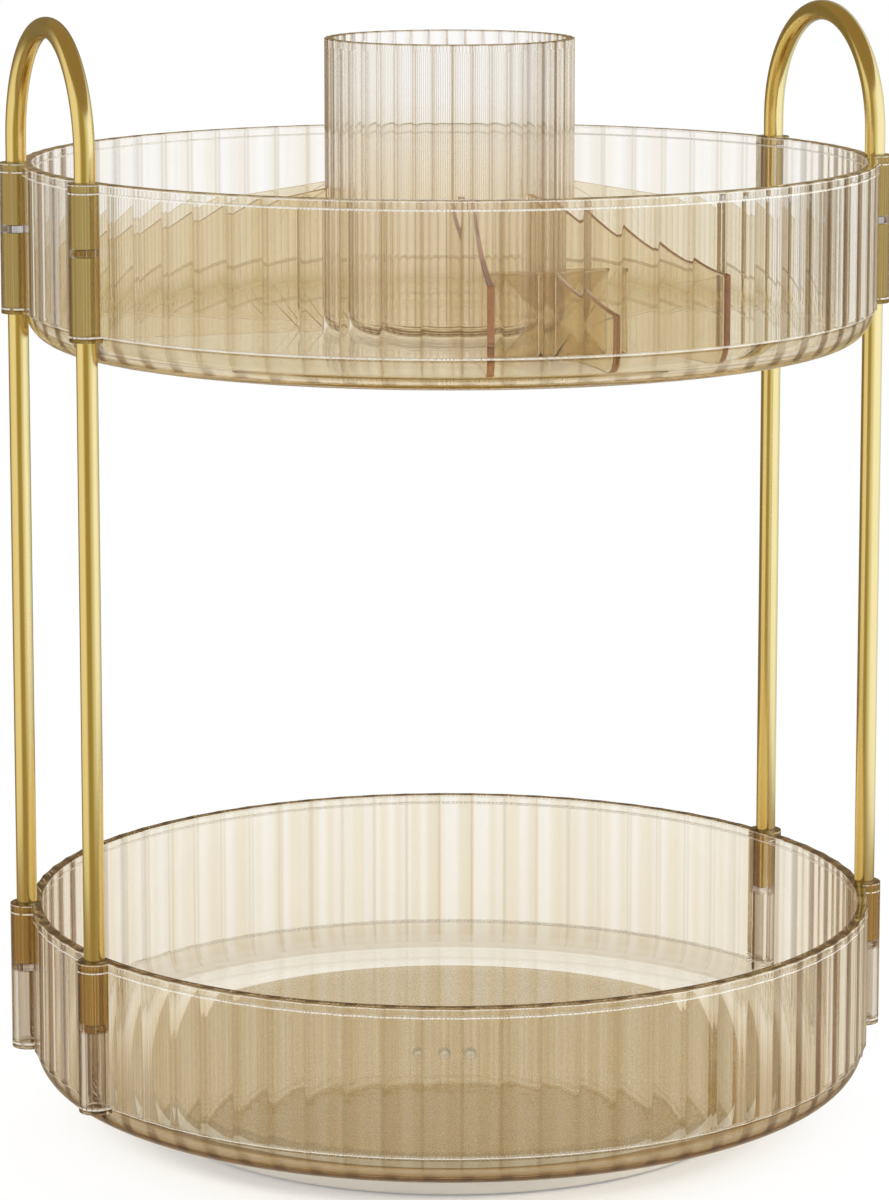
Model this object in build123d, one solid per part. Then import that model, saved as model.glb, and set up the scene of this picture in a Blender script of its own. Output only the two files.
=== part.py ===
from build123d import *

import math
import os

# Rotating two-tier makeup organizer: two clear fluted trays on a turntable foot, joined by
# four metal posts, with two hoop handles, a brush cup and upright dividers on the upper tray.
# All sizes are millimetres and degrees. The origin is on the table under the middle of the
# foot, +Z is up, the hoop handles stand at +X and -X, and the narrow front slot faces -Y.

# Tray moulding, the same for both tiers, with levels above its own underside
TRAY_RIDGE_RADIUS = 125.0  # sharp ridges between the outer flutes
TRAY_HEIGHT = 52.0
TRAY_FLUTE_COUNT = 72
OUTER_FLUTE_DEPTH = 0.6
INNER_FLUTE_DEPTH = 0.4
TRAY_WALL = 3.4  # from the inner face to the outer ridges
TRAY_STEP = 1.0  # the ridges stand this far proud of the rounded base
TRAY_FLOOR = 3.0
TRAY_BASE_ROUNDING = 9.5  # outer rounding below the flutes
TRAY_RIM_BAND = 2.8  # plain band inside, under the rim

# Tube sleeves moulded on the outside of each tray
SLEEVE_START = 8.0  # above the tray's underside
SLEEVE_WALL = 1.8
SLEEVE_SKIN = 0.9  # left between the bore and the inner flutes
SLEEVE_HALF_ANGLE = 15.8  # each pair stands this far either side of the handle axis
SLEEVE_WEB = 2.0  # stop across the bore, where the tubes end
WEB_BELOW_RIM = 18.3

# Metal tube of the posts and the hoops
TUBE_RADIUS = 3.0
TUBE_WALL = 0.7
TUBE_FIT = 0.1  # radial clearance in a sleeve
TIER_PITCH = 220.0  # from a point of the lower tray to the same point of the upper one
HOOP_TOP_ABOVE_RIM = 43.6

# Turntable plate and foot
TURNTABLE_INSET = 30.0  # from the tray's ridges
TURNTABLE_PLATE = 3.0
FOOT_INSET = 5.0  # from the edge of the turntable
FOOT_PLATE = 3.0
FOOT_RIM_WIDTH = 11.0
FOOT_RIM_WALL = 2.4
FOOT_RIM_GAP = 0.5  # under the turntable
FOOT_EDGE_ROUNDING = 0.8
PAD_COUNT = 6
PAD_RADIUS = 6.0
PAD_THICKNESS = 1.5
PAD_PROUD = 0.5  # below the foot
PAD_INSET = 10.0  # from the inside of the foot's rim
PAD_SIDE_GAP = 0.1

# Ball bearing between the foot and the turntable
BALL_COUNT = 24
BALL_RADIUS = 2.0
GROOVE_CLEARANCE = 0.3
GROOVE_DEPTH = 1.1
RACE_WEB = 0.9  # steel left under the groove
RACE_WIDTH = 12.0
RACE_SIDE_GAP = 0.1
RACE_RIB_WIDTH = 1.2
RACE_RIB_HEIGHT = 1.2
CAGE_WALL = 0.8  # beside each pocket
CAGE_POCKET_GAP = 0.2
CAGE_FACE_GAP = 0.5  # between the cage and each race

# Centre pivot that holds the turntable down on its bearing
PIVOT_RADIUS = 3.0
PIVOT_FIT = 0.05  # radial clearance
PIVOT_SHOULDER = 1.0  # the stud is this much thinner than the shaft
PIVOT_HEAD_LIP = 3.0
PIVOT_HEAD_THICKNESS = 1.2
PIVOT_HEAD_SUNK = 0.6
PIVOT_HEAD_GAP = 0.3
WASHER_LIP = 1.5  # beyond the shaft
WASHER_THICKNESS = 0.8
WASHER_FLOAT = 0.05  # between the washer and its seat
NUT_WALL = 1.5
NUT_THICKNESS = 2.2
STUD_CLEARANCE = 0.15
STUD_SPARE = 0.3  # stud above the nut
SEAT_SIDE_GAP = 1.0
SEAT_HEADROOM = 0.4  # between the stud and the tray
BOSS_WALL = 4.5  # around the washer's seat
FOOT_BOSS_HEIGHT = 1.6
BOSS_GAP = 0.3

# Brush cup in the middle of the upper tray
CUP_RIDGE_RADIUS = 36.5
CUP_HEIGHT = 84.0
CUP_WALL = 2.6
CUP_STEP = 0.8
CUP_FLOOR = 3.0
CUP_BASE_ROUNDING = 5.0
CUP_FLUTE_COUNT = 40
CUP_OUTER_FLUTE_DEPTH = 0.5
CUP_INNER_FLUTE_DEPTH = 0.3
CUP_RIM_BAND = 2.4
CUP_RIDGE_ANGLE = -2.3  # angle of its first ridge
CUP_SEAT_GAP = 0.2

# Upright dividers on the upper tray's floor
DIVIDER_THICKNESS = 2.0
DIVIDER_CUP_GAP = 0.4
DIVIDER_WALL_GAP = 0.3
DIVIDER_HEIGHT_AT_CUP = 41.4
DIVIDER_HEIGHT_AT_WALL = 25.9
SLOT_HALF_ANGLE = 16.35  # the two slot dividers stand this far either side of -Y
SIDE_DIVIDER_ANGLE = 3.6  # the left and right dividers stand this far behind the handle axis
BACK_LEFT_ANGLE = 32.7  # from the left divider on to the back left one
OUTER_SLOT_LENGTH = 44.6  # from the cross wall to the tray's wall
CROSS_WALL_HEIGHT = 23.6
HALF_DIVIDER_END_HEIGHT = 17.1
BOND_GAP = 0.05  # adhesive between two dividers

# Radii that follow
BORE_RADIUS = TUBE_RADIUS + TUBE_FIT
TRAY_INNER_RADIUS = TRAY_RIDGE_RADIUS - TRAY_WALL
TRAY_BASE_RADIUS = TRAY_RIDGE_RADIUS - TRAY_STEP
SLEEVE_CIRCLE_RADIUS = TRAY_INNER_RADIUS + INNER_FLUTE_DEPTH + SLEEVE_SKIN + BORE_RADIUS
SLEEVE_X = SLEEVE_CIRCLE_RADIUS * math.cos(math.radians(SLEEVE_HALF_ANGLE))
SLEEVE_Y = SLEEVE_CIRCLE_RADIUS * math.sin(math.radians(SLEEVE_HALF_ANGLE))
TURNTABLE_RADIUS = TRAY_RIDGE_RADIUS - TURNTABLE_INSET
FOOT_RADIUS = TURNTABLE_RADIUS - FOOT_INSET
FOOT_RIM_INNER_RADIUS = FOOT_RADIUS - FOOT_RIM_WIDTH
RACE_OUTER_RADIUS = FOOT_RIM_INNER_RADIUS - RACE_SIDE_GAP
RACE_INNER_RADIUS = RACE_OUTER_RADIUS - RACE_WIDTH
BALL_CIRCLE_RADIUS = RACE_OUTER_RADIUS - RACE_WIDTH / 2
GROOVE_RADIUS = BALL_RADIUS + GROOVE_CLEARANCE
WASHER_RADIUS = PIVOT_RADIUS + WASHER_LIP
SEAT_RADIUS = WASHER_RADIUS + SEAT_SIDE_GAP
BOSS_RADIUS = SEAT_RADIUS + BOSS_WALL
CROSS_WALL_RADIUS = TRAY_INNER_RADIUS - OUTER_SLOT_LENGTH - DIVIDER_THICKNESS / 2

# Levels that follow from the stack of parts, above the table
FOOT_BOTTOM = PAD_PROUD
FOOT_TOP = FOOT_BOTTOM + FOOT_PLATE
BALL_LEVEL = FOOT_TOP + RACE_WEB + GROOVE_RADIUS
TURNTABLE_BOTTOM = BALL_LEVEL + GROOVE_RADIUS + RACE_WEB
LOWER_TRAY_BOTTOM = TURNTABLE_BOTTOM + TURNTABLE_PLATE
UPPER_TRAY_BOTTOM = LOWER_TRAY_BOTTOM + TIER_PITCH
UPPER_FLOOR = UPPER_TRAY_BOTTOM + TRAY_FLOOR
UPPER_RIM = UPPER_TRAY_BOTTOM + TRAY_HEIGHT
FOOT_BOSS_TOP = FOOT_TOP + FOOT_BOSS_HEIGHT
SEAT_LEVEL = LOWER_TRAY_BOTTOM - (
    WASHER_FLOAT + WASHER_THICKNESS + NUT_THICKNESS + STUD_SPARE + SEAT_HEADROOM
)

# Levels of the web in a sleeve, above the tray's underside
WEB_TOP = TRAY_HEIGHT - WEB_BELOW_RIM
WEB_BOTTOM = WEB_TOP - SLEEVE_WEB

# Where the sleeves stand, as seen from above
SLEEVE_PLACES = {
    "right_front": (SLEEVE_X, -SLEEVE_Y),
    "right_back": (SLEEVE_X, SLEEVE_Y),
    "left_front": (-SLEEVE_X, -SLEEVE_Y),
    "left_back": (-SLEEVE_X, SLEEVE_Y),
}

# Directions of the dividers, anticlockwise from +X
FRONT = 270.0
RIGHT_DIVIDER = SIDE_DIVIDER_ANGLE
LEFT_DIVIDER = 180.0 - SIDE_DIVIDER_ANGLE
BACK_LEFT_DIVIDER = LEFT_DIVIDER - BACK_LEFT_ANGLE


def polar(radius, angle):
    """Point at a radius and an angle."""
    return radius * math.cos(math.radians(angle)), radius * math.sin(math.radians(angle))


def disc(radius, bottom, top, place=(0, 0)):
    """Upright cylinder between two levels."""
    aligned = (Align.CENTER, Align.CENTER, Align.MIN)
    return Pos(*place, bottom) * Cylinder(radius, top - bottom, align=aligned)


def ring(outer_radius, inner_radius, bottom, top, place=(0, 0)):
    """Upright hollow cylinder between two levels."""
    return disc(outer_radius, bottom, top, place) - disc(inner_radius, bottom, top, place)


def scalloped(tip_radius, middle_radius, count, bottom, top):
    """Upright prism whose edge is a ring of equal arcs that meet on the tip radius."""
    pitch = 360 / count
    arcs = [
        ThreePointArc(
            polar(tip_radius, index * pitch),
            polar(middle_radius, (index + 0.5) * pitch),
            polar(tip_radius, (index + 1) * pitch),
        )
        for index in range(count)
    ]
    return Pos(0, 0, bottom) * extrude(make_face(arcs), top - bottom)


def pan_base(outer_radius, inner_radius, rounding, floor):
    """Round floor with a rounded outer edge, up to the level where the wall starts."""
    inner_rounding = rounding - floor
    outer_corner = polar(rounding, -45)
    inner_corner = polar(inner_rounding, -45)
    outer_flat = outer_radius - rounding
    inner_flat = inner_radius - inner_rounding
    with BuildLine(Plane.XZ) as section:
        Polyline((0, floor), (0, 0), (outer_flat, 0))
        ThreePointArc(
            (outer_flat, 0),
            (outer_flat + outer_corner[0], rounding + outer_corner[1]),
            (outer_radius, rounding),
        )
        Line((outer_radius, rounding), (inner_radius, rounding))
        ThreePointArc(
            (inner_radius, rounding),
            (inner_flat + inner_corner[0], rounding + inner_corner[1]),
            (inner_flat, floor),
        )
        Line((inner_flat, floor), (0, floor))
    return revolve(make_face(section.line), Axis.Z)


def fluted_wall(ridge_radius, inner_radius, count, outer_depth, inner_depth, bottom, top, band):
    """Wall with hollow flutes on both faces, and a plain band inside under the rim."""
    wall = scalloped(ridge_radius, ridge_radius - outer_depth, count, bottom, top)
    wall -= scalloped(inner_radius, inner_radius + inner_depth, count, bottom, top - band)
    return wall - disc(inner_radius, top - band, top)


def tray():
    """One tray with its four tube sleeves, standing on Z = 0."""
    body = pan_base(TRAY_BASE_RADIUS, TRAY_INNER_RADIUS, TRAY_BASE_ROUNDING, TRAY_FLOOR)
    body += fluted_wall(
        TRAY_RIDGE_RADIUS,
        TRAY_INNER_RADIUS,
        TRAY_FLUTE_COUNT,
        OUTER_FLUTE_DEPTH,
        INNER_FLUTE_DEPTH,
        TRAY_BASE_ROUNDING,
        TRAY_HEIGHT,
        TRAY_RIM_BAND,
    )
    inside_the_wall = (TRAY_INNER_RADIUS + INNER_FLUTE_DEPTH + TRAY_BASE_RADIUS) / 2
    hollow = disc(inside_the_wall, SLEEVE_START, TRAY_HEIGHT)
    for place in SLEEVE_PLACES.values():
        body += disc(BORE_RADIUS + SLEEVE_WALL, SLEEVE_START, TRAY_HEIGHT, place) - hollow
    for place in SLEEVE_PLACES.values():
        body -= disc(BORE_RADIUS, 0, WEB_BOTTOM, place)
        body -= disc(BORE_RADIUS, WEB_TOP, TRAY_HEIGHT, place)
    return body


def post(place):
    """Straight tube between the webs of the two trays' sleeves."""
    bottom = LOWER_TRAY_BOTTOM + WEB_TOP
    top = UPPER_TRAY_BOTTOM + WEB_BOTTOM
    return ring(TUBE_RADIUS, TUBE_RADIUS - TUBE_WALL, bottom, top, place)


def hoop(x):
    """Tube bent to an upside-down U, with both ends down on the webs of the upper sleeves."""
    bend_level = UPPER_RIM + HOOP_TOP_ABOVE_RIM - TUBE_RADIUS - SLEEVE_Y
    end_level = UPPER_TRAY_BOTTOM + WEB_TOP
    with BuildLine(Plane.YZ) as path:
        Line((-SLEEVE_Y, end_level), (-SLEEVE_Y, bend_level))
        ThreePointArc((-SLEEVE_Y, bend_level), (0, bend_level + SLEEVE_Y), (SLEEVE_Y, bend_level))
        Line((SLEEVE_Y, bend_level), (SLEEVE_Y, end_level))
    section = Circle(TUBE_RADIUS) - Circle(TUBE_RADIUS - TUBE_WALL)
    return Pos(x, 0, 0) * sweep(Pos(0, -SLEEVE_Y, end_level) * section, path=path.line)


def foot():
    """Round foot: a plate with a hollow rim, pad recesses, and a boss for the pivot."""
    rim_top = TURNTABLE_BOTTOM - FOOT_RIM_GAP
    body = disc(FOOT_RADIUS, FOOT_BOTTOM, rim_top)
    body -= disc(FOOT_RIM_INNER_RADIUS, FOOT_TOP, rim_top)
    body = fillet(body.edges().filter_by(GeomType.CIRCLE).group_by(Axis.Z)[0], FOOT_EDGE_ROUNDING)
    body -= ring(
        FOOT_RADIUS - FOOT_RIM_WALL,
        FOOT_RIM_INNER_RADIUS + FOOT_RIM_WALL,
        FOOT_BOTTOM,
        rim_top - FOOT_RIM_WALL,
    )
    body += disc(BOSS_RADIUS, FOOT_TOP, FOOT_BOSS_TOP)
    head_recess = PIVOT_HEAD_SUNK + PIVOT_HEAD_THICKNESS
    head_radius = PIVOT_RADIUS + PIVOT_HEAD_LIP + PIVOT_HEAD_GAP
    body -= disc(head_radius, FOOT_BOTTOM, FOOT_BOTTOM + head_recess)
    body -= disc(PIVOT_RADIUS + PIVOT_FIT, FOOT_BOTTOM, FOOT_BOSS_TOP)
    for pad in pad_places():
        body -= pad * disc(PAD_RADIUS + PAD_SIDE_GAP, FOOT_BOTTOM, PAD_THICKNESS)
    return body


def pad_places():
    """Where the pads sit under the foot's plate."""
    return PolarLocations(FOOT_RIM_INNER_RADIUS - PAD_INSET, PAD_COUNT)


def pads():
    """Soft pads in the foot's recesses, the only pieces that touch the table."""
    return Compound([place * disc(PAD_RADIUS, 0, PAD_THICKNESS) for place in pad_places()])


def race(bottom):
    """Flat steel ring with a round ball groove in the face towards the balls."""
    blank = ring(RACE_OUTER_RADIUS, RACE_INNER_RADIUS, bottom, bottom + RACE_WEB + GROOVE_DEPTH)
    return blank - Pos(0, 0, BALL_LEVEL) * Torus(BALL_CIRCLE_RADIUS, GROOVE_RADIUS)


def ball_places():
    """Where the balls sit between the races."""
    return PolarLocations(BALL_CIRCLE_RADIUS, BALL_COUNT)


def cage():
    """Thin ring half way up the balls, with one pocket for each ball."""
    pocket_radius = BALL_RADIUS + CAGE_POCKET_GAP
    half_width = pocket_radius + CAGE_WALL
    half_thickness = GROOVE_RADIUS - GROOVE_DEPTH - CAGE_FACE_GAP
    bottom = BALL_LEVEL - half_thickness
    top = BALL_LEVEL + half_thickness
    body = ring(BALL_CIRCLE_RADIUS + half_width, BALL_CIRCLE_RADIUS - half_width, bottom, top)
    for place in ball_places():
        body -= place * disc(pocket_radius, bottom, top)
    return body


def balls():
    """Steel balls in the cage's pockets."""
    ball = Pos(0, 0, BALL_LEVEL) * Sphere(BALL_RADIUS)
    return Compound([place * ball for place in ball_places()])


def turntable():
    """Plate under the lower tray, with a rib inside the upper race and a boss for the pivot."""
    body = disc(TURNTABLE_RADIUS, TURNTABLE_BOTTOM, LOWER_TRAY_BOTTOM)
    rib_radius = RACE_INNER_RADIUS - RACE_SIDE_GAP
    rib_bottom = TURNTABLE_BOTTOM - RACE_RIB_HEIGHT
    body += ring(rib_radius, rib_radius - RACE_RIB_WIDTH, rib_bottom, TURNTABLE_BOTTOM)
    boss_bottom = FOOT_BOSS_TOP + BOSS_GAP
    body += disc(BOSS_RADIUS, boss_bottom, TURNTABLE_BOTTOM)
    body -= disc(SEAT_RADIUS, SEAT_LEVEL, LOWER_TRAY_BOTTOM)
    return body - disc(PIVOT_RADIUS + PIVOT_FIT, boss_bottom, SEAT_LEVEL)


def pivot_shaft():
    """Shaft with a flat head under the foot, and a thinner threaded stud on top."""
    head_bottom = FOOT_BOTTOM + PIVOT_HEAD_SUNK
    shoulder = SEAT_LEVEL + WASHER_FLOAT
    stud_top = shoulder + WASHER_THICKNESS + NUT_THICKNESS + STUD_SPARE
    body = disc(PIVOT_RADIUS + PIVOT_HEAD_LIP, head_bottom, head_bottom + PIVOT_HEAD_THICKNESS)
    body += disc(PIVOT_RADIUS, head_bottom, shoulder)
    return body + disc(PIVOT_RADIUS - PIVOT_SHOULDER, head_bottom, stud_top)


def washer():
    """Washer on the shaft's shoulder, just clear of its seat in the turntable."""
    bottom = SEAT_LEVEL + WASHER_FLOAT
    hole_radius = PIVOT_RADIUS - PIVOT_SHOULDER + STUD_CLEARANCE
    return ring(WASHER_RADIUS, hole_radius, bottom, bottom + WASHER_THICKNESS)


def nut():
    """Hexagon nut on the stud."""
    bottom = SEAT_LEVEL + WASHER_FLOAT + WASHER_THICKNESS
    stud_radius = PIVOT_RADIUS - PIVOT_SHOULDER
    hexagon = RegularPolygon(stud_radius + NUT_WALL, 6, major_radius=False)
    body = Pos(0, 0, bottom) * extrude(hexagon, NUT_THICKNESS)
    return body - disc(stud_radius + STUD_CLEARANCE, bottom, bottom + NUT_THICKNESS)


def cup():
    """Fluted brush cup that stands in the middle of the upper tray."""
    inner_radius = CUP_RIDGE_RADIUS - CUP_WALL
    body = pan_base(CUP_RIDGE_RADIUS - CUP_STEP, inner_radius, CUP_BASE_ROUNDING, CUP_FLOOR)
    body += fluted_wall(
        CUP_RIDGE_RADIUS,
        inner_radius,
        CUP_FLUTE_COUNT,
        CUP_OUTER_FLUTE_DEPTH,
        CUP_INNER_FLUTE_DEPTH,
        CUP_BASE_ROUNDING,
        CUP_HEIGHT,
        CUP_RIM_BAND,
    )
    return Pos(0, 0, UPPER_FLOOR + CUP_SEAT_GAP) * Rot(0, 0, CUP_RIDGE_ANGLE) * body


def divider(angle, start_radius, start_height, end_height):
    """Upright plate along a radius, rounded at its outer foot to clear the tray's corner."""
    end_radius = TRAY_INNER_RADIUS - DIVIDER_WALL_GAP
    rounding = TRAY_BASE_ROUNDING - TRAY_FLOOR + DIVIDER_WALL_GAP
    corner = polar(rounding, -45)
    flat_end = end_radius - rounding
    with BuildLine(Plane.XZ) as outline:
        Polyline(
            (flat_end, 0),
            (start_radius, 0),
            (start_radius, start_height),
            (end_radius, end_height),
            (end_radius, rounding),
        )
        ThreePointArc(
            (end_radius, rounding),
            (flat_end + corner[0], rounding + corner[1]),
            (flat_end, 0),
        )
    plate = extrude(make_face(outline.line), DIVIDER_THICKNESS / 2, both=True)
    return Pos(0, 0, UPPER_FLOOR) * Rot(0, 0, angle) * plate


def full_divider(angle):
    """Divider from the cup to the tray's wall."""
    start_radius = CUP_RIDGE_RADIUS + DIVIDER_CUP_GAP
    return divider(angle, start_radius, DIVIDER_HEIGHT_AT_CUP, DIVIDER_HEIGHT_AT_WALL)


def half_divider():
    """Low divider that halves the outer part of the front slot."""
    start_radius = CROSS_WALL_RADIUS + DIVIDER_THICKNESS / 2 + BOND_GAP
    return divider(FRONT, start_radius, CROSS_WALL_HEIGHT, HALF_DIVIDER_END_HEIGHT)


def cross_wall():
    """Low curved wall between the two slot dividers, cut parallel to their faces."""
    outer_radius = CROSS_WALL_RADIUS + DIVIDER_THICKNESS / 2
    inner_radius = CROSS_WALL_RADIUS - DIVIDER_THICKNESS / 2
    top = UPPER_FLOOR + CROSS_WALL_HEIGHT
    side_gap = DIVIDER_THICKNESS / 2 + BOND_GAP
    apex = polar(side_gap / math.sin(math.radians(SLOT_HALF_ANGLE)), FRONT)
    reach = [polar(2 * outer_radius, FRONT + turn) for turn in (-SLOT_HALF_ANGLE, SLOT_HALF_ANGLE)]
    corners = [apex] + [(apex[0] + x, apex[1] + y) for x, y in reach]
    wedge = Pos(0, 0, UPPER_FLOOR) * extrude(
        make_face(Polyline(*corners, close=True)), CROSS_WALL_HEIGHT
    )
    return ring(outer_radius, inner_radius, UPPER_FLOOR, top) & wedge


def main():
    """Write one STEP file for each piece."""
    pieces = {
        "foot_base": foot(),
        "foot_pads": pads(),
        "bearing_race_lower": race(FOOT_TOP),
        "bearing_cage": cage(),
        "bearing_balls": balls(),
        "bearing_race_upper": race(TURNTABLE_BOTTOM - RACE_WEB - GROOVE_DEPTH),
        "turntable_plate": turntable(),
        "pivot_shaft": pivot_shaft(),
        "pivot_washer": washer(),
        "pivot_nut": nut(),
        "lower_tray": Pos(0, 0, LOWER_TRAY_BOTTOM) * tray(),
        "upper_tray": Pos(0, 0, UPPER_TRAY_BOTTOM) * tray(),
        "handle_right": hoop(SLEEVE_X),
        "handle_left": hoop(-SLEEVE_X),
        "brush_cup": cup(),
        "divider_slot_left": full_divider(FRONT - SLOT_HALF_ANGLE),
        "divider_slot_right": full_divider(FRONT + SLOT_HALF_ANGLE),
        "divider_right": full_divider(RIGHT_DIVIDER),
        "divider_left": full_divider(LEFT_DIVIDER),
        "divider_back_left": full_divider(BACK_LEFT_DIVIDER),
        "cross_wall": cross_wall(),
        "half_divider": half_divider(),
    }
    for name, place in SLEEVE_PLACES.items():
        pieces[f"post_{name}"] = post(place)
    os.makedirs("parts", exist_ok=True)
    for name, piece in pieces.items():
        export_step(piece, f"parts/{name}.step")


main()
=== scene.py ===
# %% [markdown]
# # A two-tier turning organizer for a dressing table
# Two clear amber trays stand one above the other on four gold tubes. Two gold hoops are the
# handles, and a white foot with a ball bearing lets the whole thing turn. The CAD model gives
# the places and sizes. Here each piece gets a clean surface and a finish of its own.

# %% Load the CAD frame
import math

import bpy
import numpy as np
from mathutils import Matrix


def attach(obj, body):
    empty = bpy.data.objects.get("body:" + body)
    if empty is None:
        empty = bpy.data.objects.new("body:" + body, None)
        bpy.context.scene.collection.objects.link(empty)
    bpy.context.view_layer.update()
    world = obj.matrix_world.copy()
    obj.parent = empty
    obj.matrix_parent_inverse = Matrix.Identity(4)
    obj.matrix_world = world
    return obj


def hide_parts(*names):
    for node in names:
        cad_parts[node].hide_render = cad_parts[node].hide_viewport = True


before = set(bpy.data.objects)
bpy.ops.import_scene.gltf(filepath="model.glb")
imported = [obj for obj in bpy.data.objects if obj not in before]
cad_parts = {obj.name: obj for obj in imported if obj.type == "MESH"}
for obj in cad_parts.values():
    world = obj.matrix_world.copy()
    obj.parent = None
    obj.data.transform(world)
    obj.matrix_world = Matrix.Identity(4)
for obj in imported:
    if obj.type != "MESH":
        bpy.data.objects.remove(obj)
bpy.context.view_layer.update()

# %% [markdown]
# ## From formulas to meshes
# Every piece here is round, fluted or swept. It could be modelled by hand, but a formula keeps
# 72 flutes exact and says how the shape comes about. A shape is a table of points: rows follow
# its profile, and columns go round it. This helper joins neighbours in the table with
# four-sided faces, all at once.

# %% Turn a table of points into a mesh
MM = 0.001


def defined(*helpers):
    """Print which helpers a cell has made."""
    print("defined:", ", ".join(helper.__name__ for helper in helpers))


def table_mesh(name, points, loop=False, uv=None):
    """Mesh from a table of points in mm, rows along the profile and columns round it.

    Face (i, j) joins rows i and i+1, columns j and j+1. The last column meets the first one,
    and with loop the last row meets the first one too. A stack of tables makes one mesh of
    several equal parts. uv gives texture coordinates, with a row and a column for each seam.
    """
    rows, columns = points.shape[-3:-1]
    grid = np.arange(points.size // 3).reshape(-1, rows, columns)
    grid = np.concatenate([grid, grid[:, :1]], axis=1) if loop else grid
    grid = np.concatenate([grid, grid[:, :, :1]], axis=2)
    quads = np.stack(
        [grid[:, :-1, :-1], grid[:, :-1, 1:], grid[:, 1:, 1:], grid[:, 1:, :-1]], axis=-1
    ).reshape(-1, 4)
    mesh = bpy.data.meshes.new(name)
    mesh.vertices.add(points.size // 3)
    mesh.vertices.foreach_set("co", (points * MM).astype(np.float32).ravel())
    mesh.loops.add(quads.size)
    mesh.loops.foreach_set("vertex_index", quads.astype(np.int32).ravel())
    mesh.polygons.add(len(quads))
    mesh.polygons.foreach_set("loop_start", np.arange(len(quads), dtype=np.int32) * 4)
    mesh.update(calc_edges=True)
    if uv is not None:
        corners = np.stack([uv[:-1, :-1], uv[:-1, 1:], uv[1:, 1:], uv[1:, :-1]], axis=2)
        layer = mesh.uv_layers.new(name="along")
        layer.data.foreach_set("uv", corners.astype(np.float32).ravel())
    return mesh


defined(table_mesh)

# %% [markdown]
# A bare mesh isn't a piece yet. Points that meet, such as a whole row at a pole, are merged, and
# faces with no area go. Shading is smooth, with a sharp edge only where two faces meet at a
# clear angle, so that a ridge stays crisp. Then the piece rides on its body and stands for the
# CAD node. Light bends through a piece only if its surface is closed, so the number of open
# edges is printed, and should be 0.

# %% Put a piece in the place of its CAD node
import bmesh

MERGE = 1e-6  # metres
SHARP_DEGREES = 32
CM3 = 1e6  # in a cubic metre


def surface(node, points, body, slot, finish, loop=False, uv=None):
    """Piece from a table of points: merged, shaded, and in the place of its CAD node."""
    mesh = table_mesh(f"{node}_look", points, loop, uv)
    work = bmesh.new()
    work.from_mesh(mesh)
    bmesh.ops.remove_doubles(work, verts=work.verts, dist=MERGE)
    bmesh.ops.dissolve_degenerate(work, edges=work.edges, dist=MERGE)
    open_edges = sum(not edge.is_manifold for edge in work.edges)
    content = work.calc_volume(signed=True) * CM3
    work.to_mesh(mesh)
    work.free()
    mesh.shade_smooth()
    mesh.set_sharp_from_angle(angle=math.radians(SHARP_DEGREES))
    mesh.materials.append(finish)
    piece = bpy.data.objects.new(mesh.name, mesh)
    bpy.context.scene.collection.objects.link(piece)
    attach(piece, body)
    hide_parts(node)
    print(f"{node}: {len(mesh.polygons)} faces, {content:.2f} cm3, {open_edges} open edges")


defined(surface)

# %% [markdown]
# Most shapes here turn round an upright axis, so a point is a radius and a level at an angle.
# Every corner of a moulding is a small arc, because a rounding catches light and a bare corner
# doesn't.

# %% Circles and arcs
def round_about(radius, level, angles):
    """Points from a radius and a level per row and column: (r cos a, r sin a, z)."""
    radius, level, turn = np.broadcast_arrays(radius, level, np.radians(angles)[None, :])
    return np.stack([radius * np.cos(turn), radius * np.sin(turn), level], axis=-1)


def arc(centre, radius, start, end, steps):
    """Arc of a profile as radii and levels: centre + radius (cos t, sin t), t in degrees."""
    turn = np.radians(np.linspace(start, end, steps + 1))
    return centre[0] + radius * np.cos(turn), centre[1] + radius * np.sin(turn)


def corner_arcs(corners, roundings, steps=6):
    """Outline with each corner replaced by an arc that touches both of its sides. Its centre
    lies rounding / sin(half the corner's angle) from the corner, on the line that halves it."""
    corners = np.asarray(corners, float)
    before = np.roll(corners, 1, axis=0) - corners
    after = np.roll(corners, -1, axis=0) - corners
    before /= np.linalg.norm(before, axis=1)[:, None]
    after /= np.linalg.norm(after, axis=1)[:, None]
    half = np.arccos(np.clip((before * after).sum(axis=1), -1, 1)) / 2
    inward = before + after
    inward /= np.linalg.norm(inward, axis=1)[:, None]
    roundings = np.broadcast_to(roundings, half.shape)
    centre = corners + inward * (roundings / np.sin(half))[:, None]
    across = np.stack([-inward[:, 1], inward[:, 0]], axis=1)
    across *= np.sign((before * across).sum(axis=1))[:, None]
    turn = np.linspace(-1, 1, steps + 1)[None, :] * (np.pi / 2 - half)[:, None]
    reach = roundings[:, None, None] * (
        -np.cos(turn)[..., None] * inward[:, None] - np.sin(turn)[..., None] * across[:, None]
    )
    return (centre[:, None] + reach).reshape(-1, 2)


square = corner_arcs([(0, 0), (1, 0), (1, 1), (0, 1)], 0.1, 2)
print("A square of 1 mm with roundings of 0.1 mm has", len(square), "points")

# %% [markdown]
# ## Sizes
# The sizes repeat the CAD source, in millimetres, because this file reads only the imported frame.
# Only the flutes are shallower here, because deep ones bend light more than the photograph
# shows, and the bores close on their tubes, as bonded tubes look.

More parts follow.
